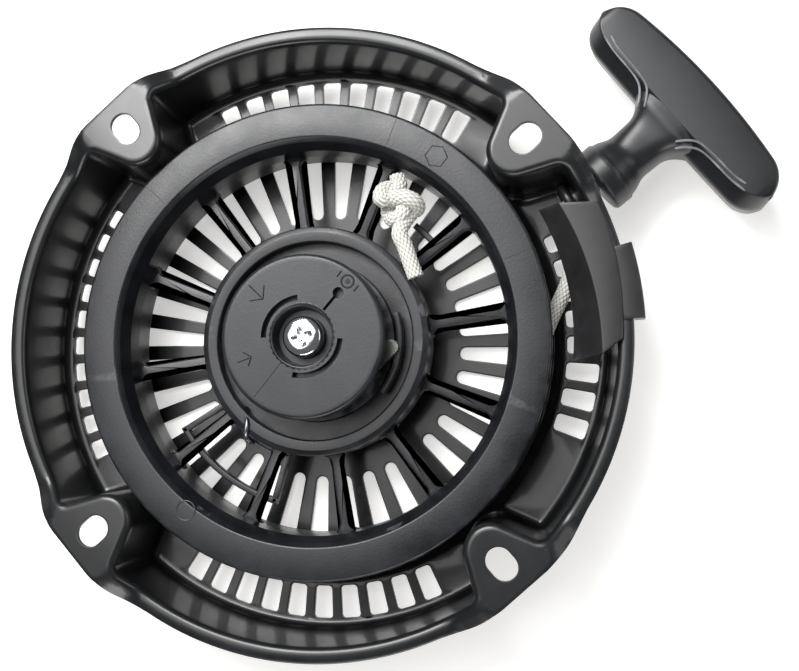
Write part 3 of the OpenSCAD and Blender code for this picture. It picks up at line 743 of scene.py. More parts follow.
def grip_plastic():
    """Moulded dark grey plastic of the handle."""
    c = bpy.context.scene.recoil_finish.grip
    return finish_material("moulded_grip", c, alt=1.35, rough=(0.3, 0.38), grain=(2600.0, 0.2, 0.00006),
                           mottle=50.0, wear=((0.16, 0.165, 0.175), 0.8), dust=0.03)


def ridge_painted_highlight():
    """Lighter grey of the handle's ridges: a painted highlight along the ridge lines."""
    return finish_material("polished_grip_ridge", (0.11, 0.115, 0.125), alt=1.5, rough=(0.16, 0.3),
                           grain=(1200.0, 0.1, 0.00005), coat=0.4, wear=((0.3, 0.3, 0.31), 0.6))


def mark_painted_shade():
    """Near-black marks on the disc: painted shade that outlines the moulded marks."""
    return finish_material("moulded_marks", (0.0015, 0.0016, 0.002), alt=2.0, rough=(0.4, 0.6),
                           grain=(1600.0, 0.2, 0.00006))


def bright_zinc():
    """Bright zinc plating of the screw and the friction spring."""
    return finish_material("bright_zinc", (0.7, 0.71, 0.69), alt=1.2, rough=(0.34, 0.48),
                           grain=(1200.0, 0.08, 0.00003), metallic=0.5, wear=((0.9, 0.9, 0.88), 0.4))


def plated_steel():
    """Plated steel of the post and the washers."""
    return finish_material("plated_steel", (0.46, 0.46, 0.45), alt=1.3, rough=(0.24, 0.42),
                           grain=(900.0, 0.15, 0.00005), metallic=1.0, wear=((0.75, 0.75, 0.73), 0.6))


def eyelet_steel():
    """Dark steel of the eyelet."""
    return finish_material("blackened_eyelet_steel", (0.03, 0.031, 0.034), alt=1.8, rough=(0.25, 0.4),
                           grain=(900.0, 0.15, 0.00005), metallic=0.6, wear=((0.3, 0.3, 0.3), 0.5))


def spring_steel():
    """Blued strip and wire of the springs."""
    return finish_material("blued_spring_steel", (0.16, 0.17, 0.2), alt=1.5, rough=(0.22, 0.36),
                           grain=(700.0, 0.1, 0.00004), metallic=1.0, wear=((0.5, 0.5, 0.52), 0.5))


def ratchet_steel():
    """Sintered steel of the ratchets."""
    return finish_material("sintered_ratchet_steel", (0.2, 0.21, 0.19), alt=1.5, rough=(0.34, 0.52),
                           grain=(2400.0, 0.3, 0.00006), metallic=1.0, wear=((0.5, 0.5, 0.48), 0.8))


def nylon():
    """Braided nylon of the rope, in the rope's colour."""
    return rope_material(bpy.context.scene.recoil_finish.rope)


# ---- eyelet and the rope's line through it ----

# Eyelet: its direction from the reel axis, the bead's radius, how far from the eyelet's axis and from its
# middle plane the beads lie, and the hole that it needs in the wall.
EYELET_A = -13.0
BEAD_R = 1.6
BEAD_AT = 5.3
BEAD_OUT = 3.0
EYELET_HOLE_R = 4.4
# Rope: the wound radius, how far from a bead's middle it bends, and the direction of the pull.
WRAP_R = 65.0
ROPE_BEND_R = 4.3
PULL_A = -2.0


def eyelet_place():
    """Middle of the eyelet and the direction it faces, out of the bowl."""
    middle = (node_low("rope_eyelet") + node_high("rope_eyelet")) / 2
    return middle, Vector(polar(1, EYELET_A, 0))


def rope_bend():
    """Middle of the bead that the rope bends round, and the angle at which the rope leaves the reel."""
    middle, out = eyelet_place()
    bead = middle - out * BEAD_OUT + Vector(polar(BEAD_AT, EYELET_A - 90, 0))
    lead_a = math.atan2(bead.y, bead.x) + math.asin((WRAP_R - ROPE_BEND_R) / bead.xy.length)
    return bead, math.degrees(lead_a)


def pull_frame():
    """Handle frame: u along the pull, v across it, z up."""
    start = rope_bend()[0] + Vector(polar(ROPE_BEND_R, PULL_A + 90, 0))
    return Matrix.Translation(start) @ Matrix.Rotation(math.radians(PULL_A), 4, "Z")


# ---- housing ----

# Pads: the wall's nose under each, their half width, how far in and out they reach, and their bolt slots.
PAD_NOSE = 8.5
PAD_HALF = 16.5
PAD_REACH = 22
PAD_OVERHANG = 1.0
PAD_BULGE = 0.4
PAD_RAMP_END = 24.5
PAD_RAMP = 13
BOLT_INSET = 9.0
BOLT_SLOT_W = 8.0
BOLT_SLOT_L = 10.5
# Wall: the rim's flat lip, the wall's draft, its fillet beside a nose, and its bends.
LIP_W = 3.4
WALL_DRAFT = 1.8
WALL_FILLET = 3.2
FOOT_BEND = 3.0
RIM_BEND = 2.1
# Floor: where it steps down, by how much, and its two rings of slots.
STEP_IN = 69.0
STEP_OUT = 77.0
FLOOR_STEP = 5.5
OUTER_PITCH = 6
OUTER_SLOT_IN = 10.5
OUTER_SLOT_L = 10.3
OUTER_SLOT_A = 3.9
INNER_SLOT_R = 43
INNER_SLOT_L = 24
INNER_SLOT_A = 5.4
RIVET_HOLE_R = 5.6
# Rings of points that the floor's mesh follows, as (radius, count), close together over the step.
FLOOR_RINGS = ((14, 60), (24, 90), (34, 120), (40, 150), (68.3, 300), (68.8, 300), (69.6, 300), (71, 300),
               (73, 300), (75, 300), (76.4, 300), (77, 300))


def bowl_outline(wall, nose, fillet, rim):
    """Plan of the bowl's wall at one level: a circle with four noses that reach in under the pads."""
    nose_at = rim - PAD_REACH + PAD_NOSE
    edge = Vector((rim + PAD_OVERHANG - nose_at, PAD_HALF + (nose - PAD_NOSE)))
    lean = math.atan2(edge.y, edge.x) + math.acos(nose / edge.length)
    n = Vector((math.cos(lean), math.sin(lean)))
    d = Vector((n.y, -n.x))
    c = n.x * nose_at + nose
    along = math.sqrt((wall - fillet) ** 2 - (c + fillet) ** 2)
    f = n * (c + fillet) + d * along
    wall_a = math.degrees(math.atan2(f.y, f.x))
    lean_a = math.degrees(lean)
    foot = f - n * fillet
    tip = Vector((nose_at, 0)) + n * nose
    upper = arc(nose_at, 0, nose, 180, lean_a, 12)
    upper += [tuple(tip.lerp(foot, k / 6)) for k in range(1, 6)]
    upper += arc(f.x, f.y, fillet, lean_a + 180, wall_a + 360, 8)
    upper += arc(0, 0, wall, wall_a, 45, 26)[1:]
    lower = [(x, -y) for x, y in upper[::-1]]
    quarter = lower[:-1] + upper[:-1]
    return [p for k in range(4) for p in turned(quarter, 90 * k)]


def land_height(x, y, rim, drop):
    """Height of the rim and pads over the plan."""
    h = np.full(np.shape(x), -float(drop))
    for k in range(4):
        c, s = math.cos(math.pi / 2 * k), math.sin(math.pi / 2 * k)
        u, v = x * c + y * s, -x * s + y * c
        rise = ease((PAD_RAMP_END - np.abs(v)) / PAD_RAMP) * (u > 0)
        h = np.maximum(h, -drop + drop * rise)
    r = np.hypot(x, y)
    return h - 0.35 * np.clip((r - rim + 1.3) / 1.3, 0, 1) ** 2 * (h < -0.02)


def rim_outline(rim, count=720):
    """Outer edge of the sheet: a circle, a little straighter and wider at each pad."""
    out = []
    for i in range(count):
        a = 360.0 * i / count
        off = abs((a + 45) % 90 - 45)
        edge = rim + PAD_OVERHANG
        flat = min(edge / math.cos(math.radians(off)), edge + PAD_BULGE)
        r = rim + (flat - rim) * float(ease((18 - off) / 9))
        out.append((r * math.cos(math.radians(a)), r * math.sin(math.radians(a))))
    return out


def cooling_slot(r0, length, angle, corner):
    """Outline of a slot along +X with eased corners and a constant angle."""
    slope = math.tan(math.radians(angle / 2))
    w0, w1 = r0 * slope, (r0 + length) * slope
    c0, c1 = min(corner, w0 - 0.01), min(corner, w1 - 0.01)
    side = [(r0 + c0 + (length - c0 - c1) * k / 6, w0 + (w1 - w0) * k / 6) for k in range(1, 6)]
    out = arc(r0 + c0, w0 - c0, c0, 180, 90, 5) + side + arc(r0 + length - c1, w1 - c1, c1, 90, 0, 5)
    out += [(x, -y) for x, y in out[::-1]]
    return counter_clockwise(out)


def floor_height(x, y, floor):
    """Height of the floor over the plan: the middle lies a step below the outer ring."""
    r = np.hypot(x, y)
    t = np.clip((r - STEP_IN) / (STEP_OUT - STEP_IN), 0, 1)
    soft = t - 0.088 * np.sin(2 * math.pi * t)
    return floor - FLOOR_STEP * (1 - soft)


def bolt_slots(rim):
    """Outlines of the four slots in the pads."""
    half = (BOLT_SLOT_L - BOLT_SLOT_W) / 2
    slot = arc(rim - BOLT_INSET + half, 0, BOLT_SLOT_W / 2, -90, 90, 16)
    slot += arc(rim - BOLT_INSET - half, 0, BOLT_SLOT_W / 2, 90, 270, 16)
    return [turned(slot, 90 * k) for k in range(4)]


def floor_slots(sizes, bend_r):
    """Outlines of both rings of cooling slots; bend_r is where the floor's bend starts."""
    holes = []
    for k in range(4):
        for j in range(0 if k < 3 else sizes.blank_slots, sizes.outer_slots):
            a = 45 + 90 * k + (j - (sizes.outer_slots - 1) / 2) * OUTER_PITCH
            holes.append(turned(cooling_slot(bend_r - OUTER_SLOT_IN, OUTER_SLOT_L, OUTER_SLOT_A, 1.2), a))
    for j in range(sizes.inner_slots):
        a = (j + 0.5) * 360 / sizes.inner_slots
        holes.append(turned(cooling_slot(INNER_SLOT_R, INNER_SLOT_L, INNER_SLOT_A, 3), a))
    return holes


class RECOIL_OT_housing(bpy.types.Operator):
    """Presses the housing from one sheet: floor with its slots, wall, rim and bolting pads"""

    bl_idname = "recoil.housing"
    bl_label = "Build Housing"

    def execute(self, context):
        sizes = context.scene.recoil_housing
        rim, drop, floor = sizes.rim_radius / MM, sizes.rim_drop / MM, -sizes.floor_depth / MM
        sheet = sizes.sheet / MM
        top = rim - LIP_W - sheet
        foot = top - WALL_DRAFT
        bm = bmesh.new()

        # Wall stations from the floor bend to the turned-over top edge.
        base = bowl_outline(foot, PAD_NOSE + 0.6, WALL_FILLET, rim)
        n = outward(base)
        start = np.array(base) - n * FOOT_BEND
        start_z = floor_height(start[:, 0], start[:, 1], floor)
        crest = bowl_outline(top, PAD_NOSE, WALL_FILLET, rim)
        crest_n = outward(crest)
        lip = np.array(crest) + crest_n * RIM_BEND
        lip_z = land_height(lip[:, 0], lip[:, 1], rim, drop)
        rings = []
        for k in range(7):
            a = math.radians(15 * k)
            p = np.array(base) - n * FOOT_BEND * (1 - math.sin(a))
            rings.append(np.c_[p, start_z + FOOT_BEND * (1 - math.cos(a))])
        z0, z1 = start_z + FOOT_BEND, lip_z - RIM_BEND
        for k in range(1, 11):
            t = k / 11
            p = np.array(base) * (1 - t) + np.array(crest) * t
            rings.append(np.c_[p, z0 + (z1 - z0) * t])
        for k in range(7):
            a = math.radians(15 * k)
            p = np.array(crest) + crest_n * RIM_BEND * (1 - math.cos(a))
            rings.append(np.c_[p, z1 + RIM_BEND * math.sin(a)])
        rows = [[bm.verts.new(p) for p in ring] for ring in rings]
        for a, b in zip(rows, rows[1:]):
            bridge(bm, a, b)

        # Floor with both rings of slots.
        holes = floor_slots(sizes, foot - FOOT_BEND)
        holes.append(arc(0, 0, RIVET_HOLE_R, 0, 360, 48)[:-1])
        extra = np.array([p for r, c in FLOOR_RINGS for p in arc(0, 0, r, 0.3, 360.3, c)[:-1]])
        start_line = [tuple(p) for p in start]
        extra = [tuple(p) for p in extra[inside(moved(start_line, -0.5), extra)]]
        filled(bm, start_line, holes, lambda x, y: floor_height(x, y, floor), extra, edge_ring=0.55)

        # Rim and pads.
        edge = rim_outline(rim)
        bolts = bolt_slots(rim)
        crumbs = []
        for r in np.arange(77.2, rim + 1.5, 1.1):
            crumbs += arc(0, 0, r, 0.2, 360.2, 480)[:-1]
        crumbs = np.array(crumbs)
        bend_line = [tuple(p) for p in np.array(crest) + crest_n * (RIM_BEND + 0.5)]
        ok = inside(moved(edge, -0.55), crumbs) & ~inside(bend_line, crumbs)
        for b in bolts:
            ok &= ~inside(moved(counter_clockwise(b), 1.2), crumbs)
        wall_line = [tuple(p) for p in lip]
        filled(bm, edge, [wall_line] + bolts, lambda x, y: land_height(x, y, rim, drop),
               [tuple(p) for p in crumbs[ok]], edge_ring=0.45)

        # Hole for the eyelet.
        middle, out = eyelet_place()
        gone = []
        for f in bm.faces:
            offset = f.calc_center_median() - middle
            if offset.cross(out).length < EYELET_HOLE_R and offset.length < 2 * EYELET_HOLE_R + 0.2:
                gone.append(f)
        bmesh.ops.delete(bm, geom=gone, context="FACES")
        bmesh.ops.remove_doubles(bm, verts=bm.verts, dist=0.004)
        bmesh.ops.recalc_face_normals(bm, faces=bm.faces)
        bm.faces.ensure_lookup_table()
        flat = max((f for f in bm.faces if f.calc_center_median().length < 60), key=lambda f: f.calc_area())
        if flat.normal.z < 0:
            bmesh.ops.reverse_faces(bm, faces=bm.faces)
        obj = new_piece("pressed_housing", bm, paint(), None, outwards=False)
        thick = obj.modifiers.new("sheet", "SOLIDIFY")
        thick.thickness = sheet * MM
        thick.offset = -1
        thick.use_even_offset = True
        soft = obj.modifiers.new("edges", "BEVEL")
        soft.width = 0.0003
        soft.segments = 2
        soft.limit_method = "ANGLE"
        soft.angle_limit = math.radians(62)
        shade(baked(obj), 50)
        settle(obj, "housing", ("housing",))
        return {"FINISHED"}


# Guide block: radii of its inner face and of its step over the rim, and the angles of its ends: as lathed,
# and where the sheared end lies at the inner face.
BLOCK_IN_R = 79.7
BLOCK_STEP_R = 92.0
BLOCK_A0 = -46.5
BLOCK_A1 = -15.8
BLOCK_SHEARED_A1 = -12.2
TAB_A0 = -38.6
TAB_A1 = -25.6
TAB_OUT = 3.4


class RECOIL_OT_wall_fittings(bpy.types.Operator):
    """Builds the rope guide block and the eyelet on the wall"""

    bl_idname = "recoil.wall_fittings"
    bl_label = "Build Guide Block and Eyelet"

    def execute(self, context):
        rim = context.scene.recoil_housing.rim_radius / MM
        lo = node_low("rope_guide").z
        top = -context.scene.recoil_housing.rim_drop / MM + 1.8
        rest = top - 1.75
        bm = bmesh.new()
        body = eased([(BLOCK_IN_R, lo, 0.5), (BLOCK_STEP_R, lo, 0.4), (BLOCK_STEP_R, rest, 0.1),
                      (rim - 1.2, rest, 0.2), (rim - 1.2, top, 0.7), (85.9, top, 0.9)])
        lathe(bm, body, 42, BLOCK_A0, BLOCK_A1)
        # The ends are sheared, and the top face widens toward one of them.
        for v in bm.verts:
            r, a = math.hypot(v.co.x, v.co.y), math.degrees(math.atan2(v.co.y, v.co.x))
            t = (a - BLOCK_A0) / (BLOCK_A1 - BLOCK_A0)
            out = r - BLOCK_IN_R
            a = (BLOCK_A0 + out * 0.26) * (1 - t) + (BLOCK_SHEARED_A1 - out * 0.29) * t
            if v.co.z > top - 2.5 and r < BLOCK_STEP_R:
                r += 2.8 * (1 - t) * (1 if r > 83 else 0)
            elif r > 93:
                r -= 2.2 * (1 - t)
            v.co.x, v.co.y = polar(r, a, 0)[:2]
        tab = eased([(rim - 3, rest, 0.1), (rim + 0.3, rest, 0.2), (rim + 0.3, rest - 5.8, 0.4),
                     (rim + TAB_OUT, rest - 5.8, 0.5), (rim + TAB_OUT, top - 1.4, 0.7),
                     (rim - 3, top - 0.9, 0.1)])
        lathe(bm, tab, 20, TAB_A0, TAB_A1)
        obj = new_piece("rope_guide_block", bm, block_plastic(), None)
        soft = obj.modifiers.new("ends", "BEVEL")
        soft.width = 0.00045
        soft.segments = 3
        soft.limit_method = "ANGLE"
        soft.angle_limit = math.radians(60)
        shade(baked(obj), 40)
        settle(obj, "housing", ("rope_guide",))

        middle, out = eyelet_place()
        bm = bmesh.new()
        for s in (-1, 1):
            lathe(bm, arc(BEAD_AT, BEAD_OUT * s, BEAD_R, 0, 360, 20)[:-1], 60)
        throat, sleeve = BEAD_AT - BEAD_R, BEAD_AT - 0.65
        lathe(bm, [(throat, -BEAD_OUT), (sleeve, -BEAD_OUT), (sleeve, BEAD_OUT), (throat, BEAD_OUT)], 60)
        turn = out.to_track_quat("Z", "Y").to_matrix().to_4x4()
        bmesh.ops.transform(bm, matrix=Matrix.Translation(middle) @ turn, verts=bm.verts)
        new_piece("rope_eyelet_ring", bm, eyelet_steel(), "housing", ("rope_eyelet",))
        return {"FINISHED"}


# ---- reel ----

# Drum's inner radius and the groove's floor, hub ring's radii, spring cup's floor, and the bearing's bore.
DRUM_IN_R = 60.0
GROOVE_R = 62.4
RING_IN_R = 31
RING_OUT_R = 36
CUP_FLOOR_Z = -15.5
HUB_FLOOR_Z = -13
HUB_BACK_Z = -16
BORE_R = 7.05
# Spokes, the pocket for the spring's end, and the ratchets' pins.
SPOKE_A0 = -3
SPOKE_TOP_Z = -19
SPOKE_BACK_Z = -23
POCKET_A0 = 169.5
POCKET_A1 = 213.5
HOOK_A = 191.5
RATCHET_AT = 17
RATCHET_A = (-100, 80)


def reel_spoke(width, r0, r1):
    """Plan of a spoke along +X that flares where it meets the rings."""
    half = width / 2
    flare = 2.3
    upper = [(r0, half + flare)] + arc(r0 + 1 + flare, half + flare, flare, 180, 270, 6) \
        + arc(r1 - 1 - flare, half + flare, flare, 270, 360, 6) + [(r1, half + flare)]
    return [(x, y) for x, y in upper] + [(x, -y) for x, y in upper[::-1]]


class RECOIL_OT_reel(bpy.types.Operator):
    """Moulds the reel: grooved drum, spokes, hub ring, spring cup and ratchet seats"""

    bl_idname = "recoil.reel"
    bl_label = "Build Reel"

    def execute(self, context):
        sizes = context.scene.recoil_reel
        edge = sizes.edge / MM
        flange, top = node_high("reel").x, node_high("reel").z
        back = node_low("reel").z
        bm = bmesh.new()
        # Drum with its groove and both flanges.
        lathe(bm, eased([
            (DRUM_IN_R, top - 21.6, edge), (flange, top - 21.6, edge), (flange, top - 19.4, edge),
            (GROOVE_R, top - 19.4, 0.8), (GROOVE_R, top - 3, 0.8), (flange, top - 3, edge),
            (flange, top, 1.0), (63.6, top, 0.9), (62.2, top - 1.6, 0.7), (60.4, top - 6, 0.8),
            (DRUM_IN_R, top - 12, 0.1)], 4), 240)
        # Hub ring with the spring cup, hub floor and bearing tube.
        lathe(bm, eased([
            (RING_IN_R, -11, 0.6), (34.2, -11, 0.3), (RING_OUT_R, -11.5, 0.5), (RING_OUT_R, -23.8, 0.2),
            (34.5, -25.8, 0.2), (34.5, back, 0.4), (RING_IN_R, back, 0.4)]), 180)
        lathe(bm, [(BORE_R, HUB_BACK_Z), (31.5, HUB_BACK_Z), (31.5, CUP_FLOOR_Z), (25.4, CUP_FLOOR_Z),
                   (25, HUB_FLOOR_Z), (BORE_R, HUB_FLOOR_Z)], 120)
        lathe(bm, eased([(BORE_R, HUB_BACK_Z, 0), (10.4, HUB_BACK_Z, 0), (10.4, -6.6, 0.4),
                         (BORE_R, -6.6, 0.3)]), 72)
        # Spokes, each with a rib below it.
        for k in range(sizes.spokes):
            a = SPOKE_A0 + 360 / sizes.spokes * k
            spoke = turned(reel_spoke(sizes.spoke_width / MM, 35.2, 60.6), a)
            slab(bm, spoke, SPOKE_BACK_Z, SPOKE_TOP_Z, 0.55)
            slab(bm, turned([(34, -0.8), (61, -0.8), (61, 0.8), (34, 0.8)], a), -25.4, -22.5, 0.3)
        # Bridge behind the knot and the pocket for the spring's end.
        lathe(bm, eased([(47, -22.4, 0.4), (49, -22.4, 0.4), (49, -19.4, 0.4), (47, -19.4, 0.4)]), 8, -3, 9)
        for r0, r1 in ((51.2, 53.2), (36.5, 38)):
            bar = eased([(r0, -22.5, 0.4), (r1, -22.5, 0.4), (r1, -19.2, 0.5), (r0, -19.2, 0.5)])
            lathe(bm, bar, 26, POCKET_A0, POCKET_A1)
        for a in (POCKET_A0 + 1.1, POCKET_A1 - 1.1):
            slab(bm, turned([(36, -1), (53, -1), (53, 1), (36, 1)], a), -22.5, -19.2, 0.45)
        # Ratchet seats: pins, shoulders and a raised horseshoe behind each.
        for a in RATCHET_A:
            pin = eased([(0, -14, 0), (3.6, -14, 0), (3.6, -10.7, 0.2), (2.95, -10.7, 0.1),
                         (2.95, -6.4, 0.4), (0, -6.4, 0)])
            lathe_at(bm, pin, 48, turned([(RATCHET_AT, 0)], a)[0])
            lathe(bm, eased([(26.2, -13.2, 0.1), (28.2, -13.2, 0.1), (28.2, -9.2, 0.5), (26.2, -9.2, 0.5)]),
                  26, a + 22, a + 76)
        # Mould marks on the flange: an ejector ring and a hexagon.
        x, y = turned([(65.6, 0)], 192)[0]
        lathe_at(bm, arc(3.0, top + 0.02, 0.2, 0, 360, 8)[:-1], 48, (x, y))
        x, y = turned([(68.2, 0)], 13.5)[0]
        hexagon = [(*p, top + 0.02) for p in arc(x, y, 3.5, 10, 370, 6)]
        wire(bm, hexagon, 0.2, smooth=False, sides=8)
        # Faint parting lines across the flange.
        for a in (-20, 27, 96):
            p, q = turned([(64.4, 0), (72.8, 0)], a)
            wire(bm, [(*p, top), (*q, top)], 0.1, smooth=False, sides=6)
        new_piece("moulded_reel", bm, reel_plastic(), "reel", ("reel",), sharp=38)

        # Hooked end of the power spring in its notch.
        bm = bmesh.new()
        hook = [(*turned([p[:2]], HOOK_A)[0], p[2]) for p in (
            (30.4, -6, -15), (31.6, -3.4, -12.4), (33.5, -1.2, -10.8), (35.8, 0, -10.9), (37.2, 0.8, -12.6),
            (37.8, 1.0, -16), (38.4, 2.4, -18.2))]
        wire(bm, hook, 0.85, step=0.4)
        new_piece("spring_hook", bm, spring_steel(), "reel", ())
        return {"FINISHED"}


# ---- guide disc, screw and small parts ----


# Disc: the springy ring between two arc slots, the slit that opens it, and the radii of its recess.
ARC_SLOT_IN_R = 10.9
ARC_SLOT_OUT_R = 12.6
SLIT_A = 8
SLIT_HALF = 0.45
RECESS_R = 9.9
DISC_EDGE = 1.3


class RECOIL_OT_guide_disc(bpy.types.Operator):
    """Moulds the ratchet guide: front disc with its springy ring, skirts and cam plate"""

    bl_idname = "recoil.guide_disc"
    bl_label = "Build Guide Disc"

    def execute(self, context):
        top = node_high("ratchet_guide").z
        out = node_high("ratchet_guide").x
        low = node_low("ratchet_guide").z
        plate = top - 3.5
        bm = bmesh.new()
        slots = [counter_clockwise([*arc(0, 0, ARC_SLOT_IN_R, a0, a1, 40),
                                    *arc(0, 0, ARC_SLOT_OUT_R, a1, a0, 40)])
                 for a0, a1 in ((55, 140), (215, 315))]
        slit = turned([(10.2, -SLIT_HALF), (15.4, -SLIT_HALF), *arc(17, 0, 1.7, 195, 525, 26),
                       (15.4, SLIT_HALF), (10.2, SLIT_HALF)], SLIT_A)
        holes = slots + [counter_clockwise(slit)]
        radii = (10.3, 10.6, 13.0, *np.arange(13.8, out - 1.6, 1.0))
        crumbs = np.array([p for r in radii for p in arc(0, 0, r, 0.7, 360.7, 150)[:-1]])
        ok = np.ones(len(crumbs), bool)
        for h in holes:
            ok &= ~inside(moved(h, 0.3), crumbs)
        recess = arc(0, 0, RECESS_R, 0, 360, 96)[:-1]
        filled(bm, arc(0, 0, out - DISC_EDGE, 0, 360, 160)[:-1], [recess] + holes,
               lambda x, y: np.full(np.shape(x), top), [tuple(p) for p in crumbs[ok]])
        for h in holes:
            rows = [ring_of(bm, h, top), ring_of(bm, moved(h, -0.12), top - 0.25),
                    ring_of(bm, moved(h, -0.12), plate + 0.4)]
            for a, b in zip(rows, rows[1:]):
                bridge(bm, a, b)
            bm.faces.new(rows[-1])
        # Rounded rim, recess around the screw with its lip, and the underside.
        edge = [(out - DISC_EDGE, top), *arc(out - DISC_EDGE, top - DISC_EDGE, DISC_EDGE, 90, 0, 6),
                (out, plate + 0.6), *arc(out - 0.5, plate + 0.5, 0.5, 0, -90, 3),
                (12.5, plate), (12.5, plate - 2.4), (4.6, plate - 2.4), (4.6, top - 3.0), (6.3, top - 3.0),
                (6.5, top - 5.4), (8.3, top - 5.4), (8.7, top - 2.6), (9.0, top - 0.1),
                *arc(9.45, top - 0.1, 0.45, 180, 90, 4), (RECESS_R, top)]
        count = 160
        rows = []
        for i in range(count):
            a = 2 * math.pi * i / count
            rows.append([bm.verts.new((r * math.cos(a), r * math.sin(a), z)) for r, z in edge])
        for i in range(count):
            a, b = rows[i], rows[(i + 1) % count]
            for k in range(len(edge) - 1):
                bm.faces.new((a[k], b[k], b[k + 1], a[k + 1]))
        # Cam plate, its wall, and two skirts over the ratchets' backs.
        cam = low + 2.6
        lathe(bm, eased([(10.0, cam, 0.2), (21.5, cam, 0.5), (21.5, plate + 0.2, 0.1),
                         (19.5, plate + 0.2, 0.1), (19.5, cam + 2.8, 0.1), (10.0, cam + 2.8, 0.2)]), 120)
        for s in (0, 180):
            lathe(bm, eased([(out - 2.4, low, 0.5), (out - 0.5, low, 0.5), (out - 0.5, plate + 0.3, 0.1),
                             (out - 2.4, plate + 0.3, 0.1)]), 30, s - 10, s + 40)
        new_piece("guide_disc", bm, guide_plastic(), "ratchet_guide", ("ratchet_guide",),
                  sharp=38, weld=0.003)

        # Index mark: a ring with a dot between two dashes, and arrows that show the turn.
        bm = bmesh.new()
        x, y = turned([(21.4, 0)], SLIT_A)[0]
        lathe_at(bm, arc(1.9, top + 0.06, 0.26, 0, 360, 10)[:-1], 32, (x, y))
        lathe_at(bm, [(0, top - 0.1), (0.75, top - 0.1), (0.6, top + 0.3), (0, top + 0.3)], 16, (x, y))
        for s in (-1, 1):
            p, q = turned([(20.4, 3.4 * s), (22.6, 3.4 * s)], SLIT_A)
            wire(bm, [(*p, top + 0.06), (*q, top + 0.06)], 0.3, smooth=False, sides=8)
        for a, size in ((95, 1.0), (160, 0.7)):
            head = [(16.6 + 2.6 * size, -3.2 * size), (16.6, 0), (16.6 + 2.6 * size, 3.2 * size)]
            shaft = [(17.3, 0), (17.3 + 5.4 * size, 0)]
            for line in (head, shaft):
                wire(bm, [(*q, top + 0.06) for q in turned(line, a)], 0.24, smooth=False, sides=8)
        p, q = turned([(9.6, 0), (23.2, 0)], 190)
        wire(bm, [(*p, top - 0.05), (*q, top - 0.05)], 0.15, smooth=False, sides=6)
        # The marks' near-black finish is painted shade along the moulded relief.
        new_piece("guide_disc_marks", bm, mark_painted_shade(), "ratchet_guide", (), weld=0.003)
        return {"FINISHED"}


class RECOIL_OT_set_screw(bpy.types.Operator):
    """Turns the pan-head screw and sinks its cross recess"""

    bl_idname = "recoil.set_screw"
    bl_label = "Build Set Screw"

    def execute(self, context):
        lo, hi = node_low("set_screw"), node_high("set_screw")
        head, r = hi.z, hi.x
        seat = head - 3.2
        bm = bmesh.new()
        arm, half = 3.3, 0.8
        cross = [(arm, half), (half * 1.4, half * 1.4), (half, arm)]
        outline = []
        for k in range(4):
            outline += turned(cross, 90 * k)
        outline = turned(counter_clockwise(outline), 65)
        flat_r = 4.0

        def dome(x, y):
            """Height of the slightly crowned top."""
            return head - 0.3 * (np.hypot(x, y) / flat_r) ** 2

        top_ring = arc(0, 0, flat_r, 0, 360, 64)[:-1]
        crumbs = np.array([p for q in (1.6, 2.3, 3.1, 3.6) for p in arc(0, 0, q, 3, 363, 40)[:-1]])
        crumbs = crumbs[~inside(moved(outline, 0.15), crumbs)]
        filled(bm, top_ring, [outline], dome, [tuple(p) for p in crumbs])
        flat = np.array(outline)
        z = dome(flat[:, 0], flat[:, 1])
        rows = [[bm.verts.new((*p, h)) for p, h in zip(flat, z)],
                [bm.verts.new((*p, head - 0.5)) for p in flat * 0.97],
                [bm.verts.new((*p, head - 2.2)) for p in flat * 0.5]]
        for a, b in zip(rows, rows[1:]):
            bridge(bm, a, b)
        bm.faces.new(rows[-1])
        side = [(flat_r, head - 0.3)] + arc(r - 1.8, head - 2.2, 1.8, 68, 0, 7)[1:] + [
            (r, seat + 0.3), (r - 0.3, seat), (2.95, seat), (2.95, lo.z + 0.6), (2.4, lo.z), (0, lo.z)]
        count = 64
        ring = [[bm.verts.new(polar(q, 360 * i / count, h)) for q, h in side[:-1]] for i in range(count)]
        foot = bm.verts.new((0, 0, lo.z))
        for i in range(count):
            a, b = ring[i], ring[(i + 1) % count]
            for k in range(len(side) - 2):
                bm.faces.new((a[k], b[k], b[k + 1], a[k + 1]))
            bm.faces.new((a[-1], b[-1], foot))
        new_piece("pan_head_screw", bm, bright_zinc(), "housing", ("set_screw",),
                  sharp=35, weld=0.003)
        return {"FINISHED"}


class RECOIL_OT_small_parts(bpy.types.Operator):
    """Gives the post, washers, ratchets and springs their finishes"""

    bl_idname = "recoil.small_parts"
    bl_label = "Finish Small Parts"

    def execute(self, context):
        finishes = {
            "centre_post": plated_steel(), "thrust_washer": plated_steel(), "handle_washer": plated_steel(),
            "friction_spring": bright_zinc(), "spiral_spring": spring_steel(),
            "ratchet_a": ratchet_steel(), "ratchet_b": ratchet_steel(),
            "ratchet_spring_a": spring_steel(), "ratchet_spring_b": spring_steel(),
            "handle_knot": nylon(),
        }
        for name, finish in finishes.items():
            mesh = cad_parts[name].data
            if not mesh.materials:
                raise RuntimeError(f"{name} has no material slot")
            for k in range(len(mesh.materials)):
                mesh.materials[k] = finish
        return {"FINISHED"}


# ---- rope ----

# Heights of the turns in the groove, from the back, and how far the last turn and the full turns sweep.
TURN_Z = (-22.6, -17.2, -11.8)
LAST_TURN_SWEEP = 300
FULL_TURN_SWEEP = 359


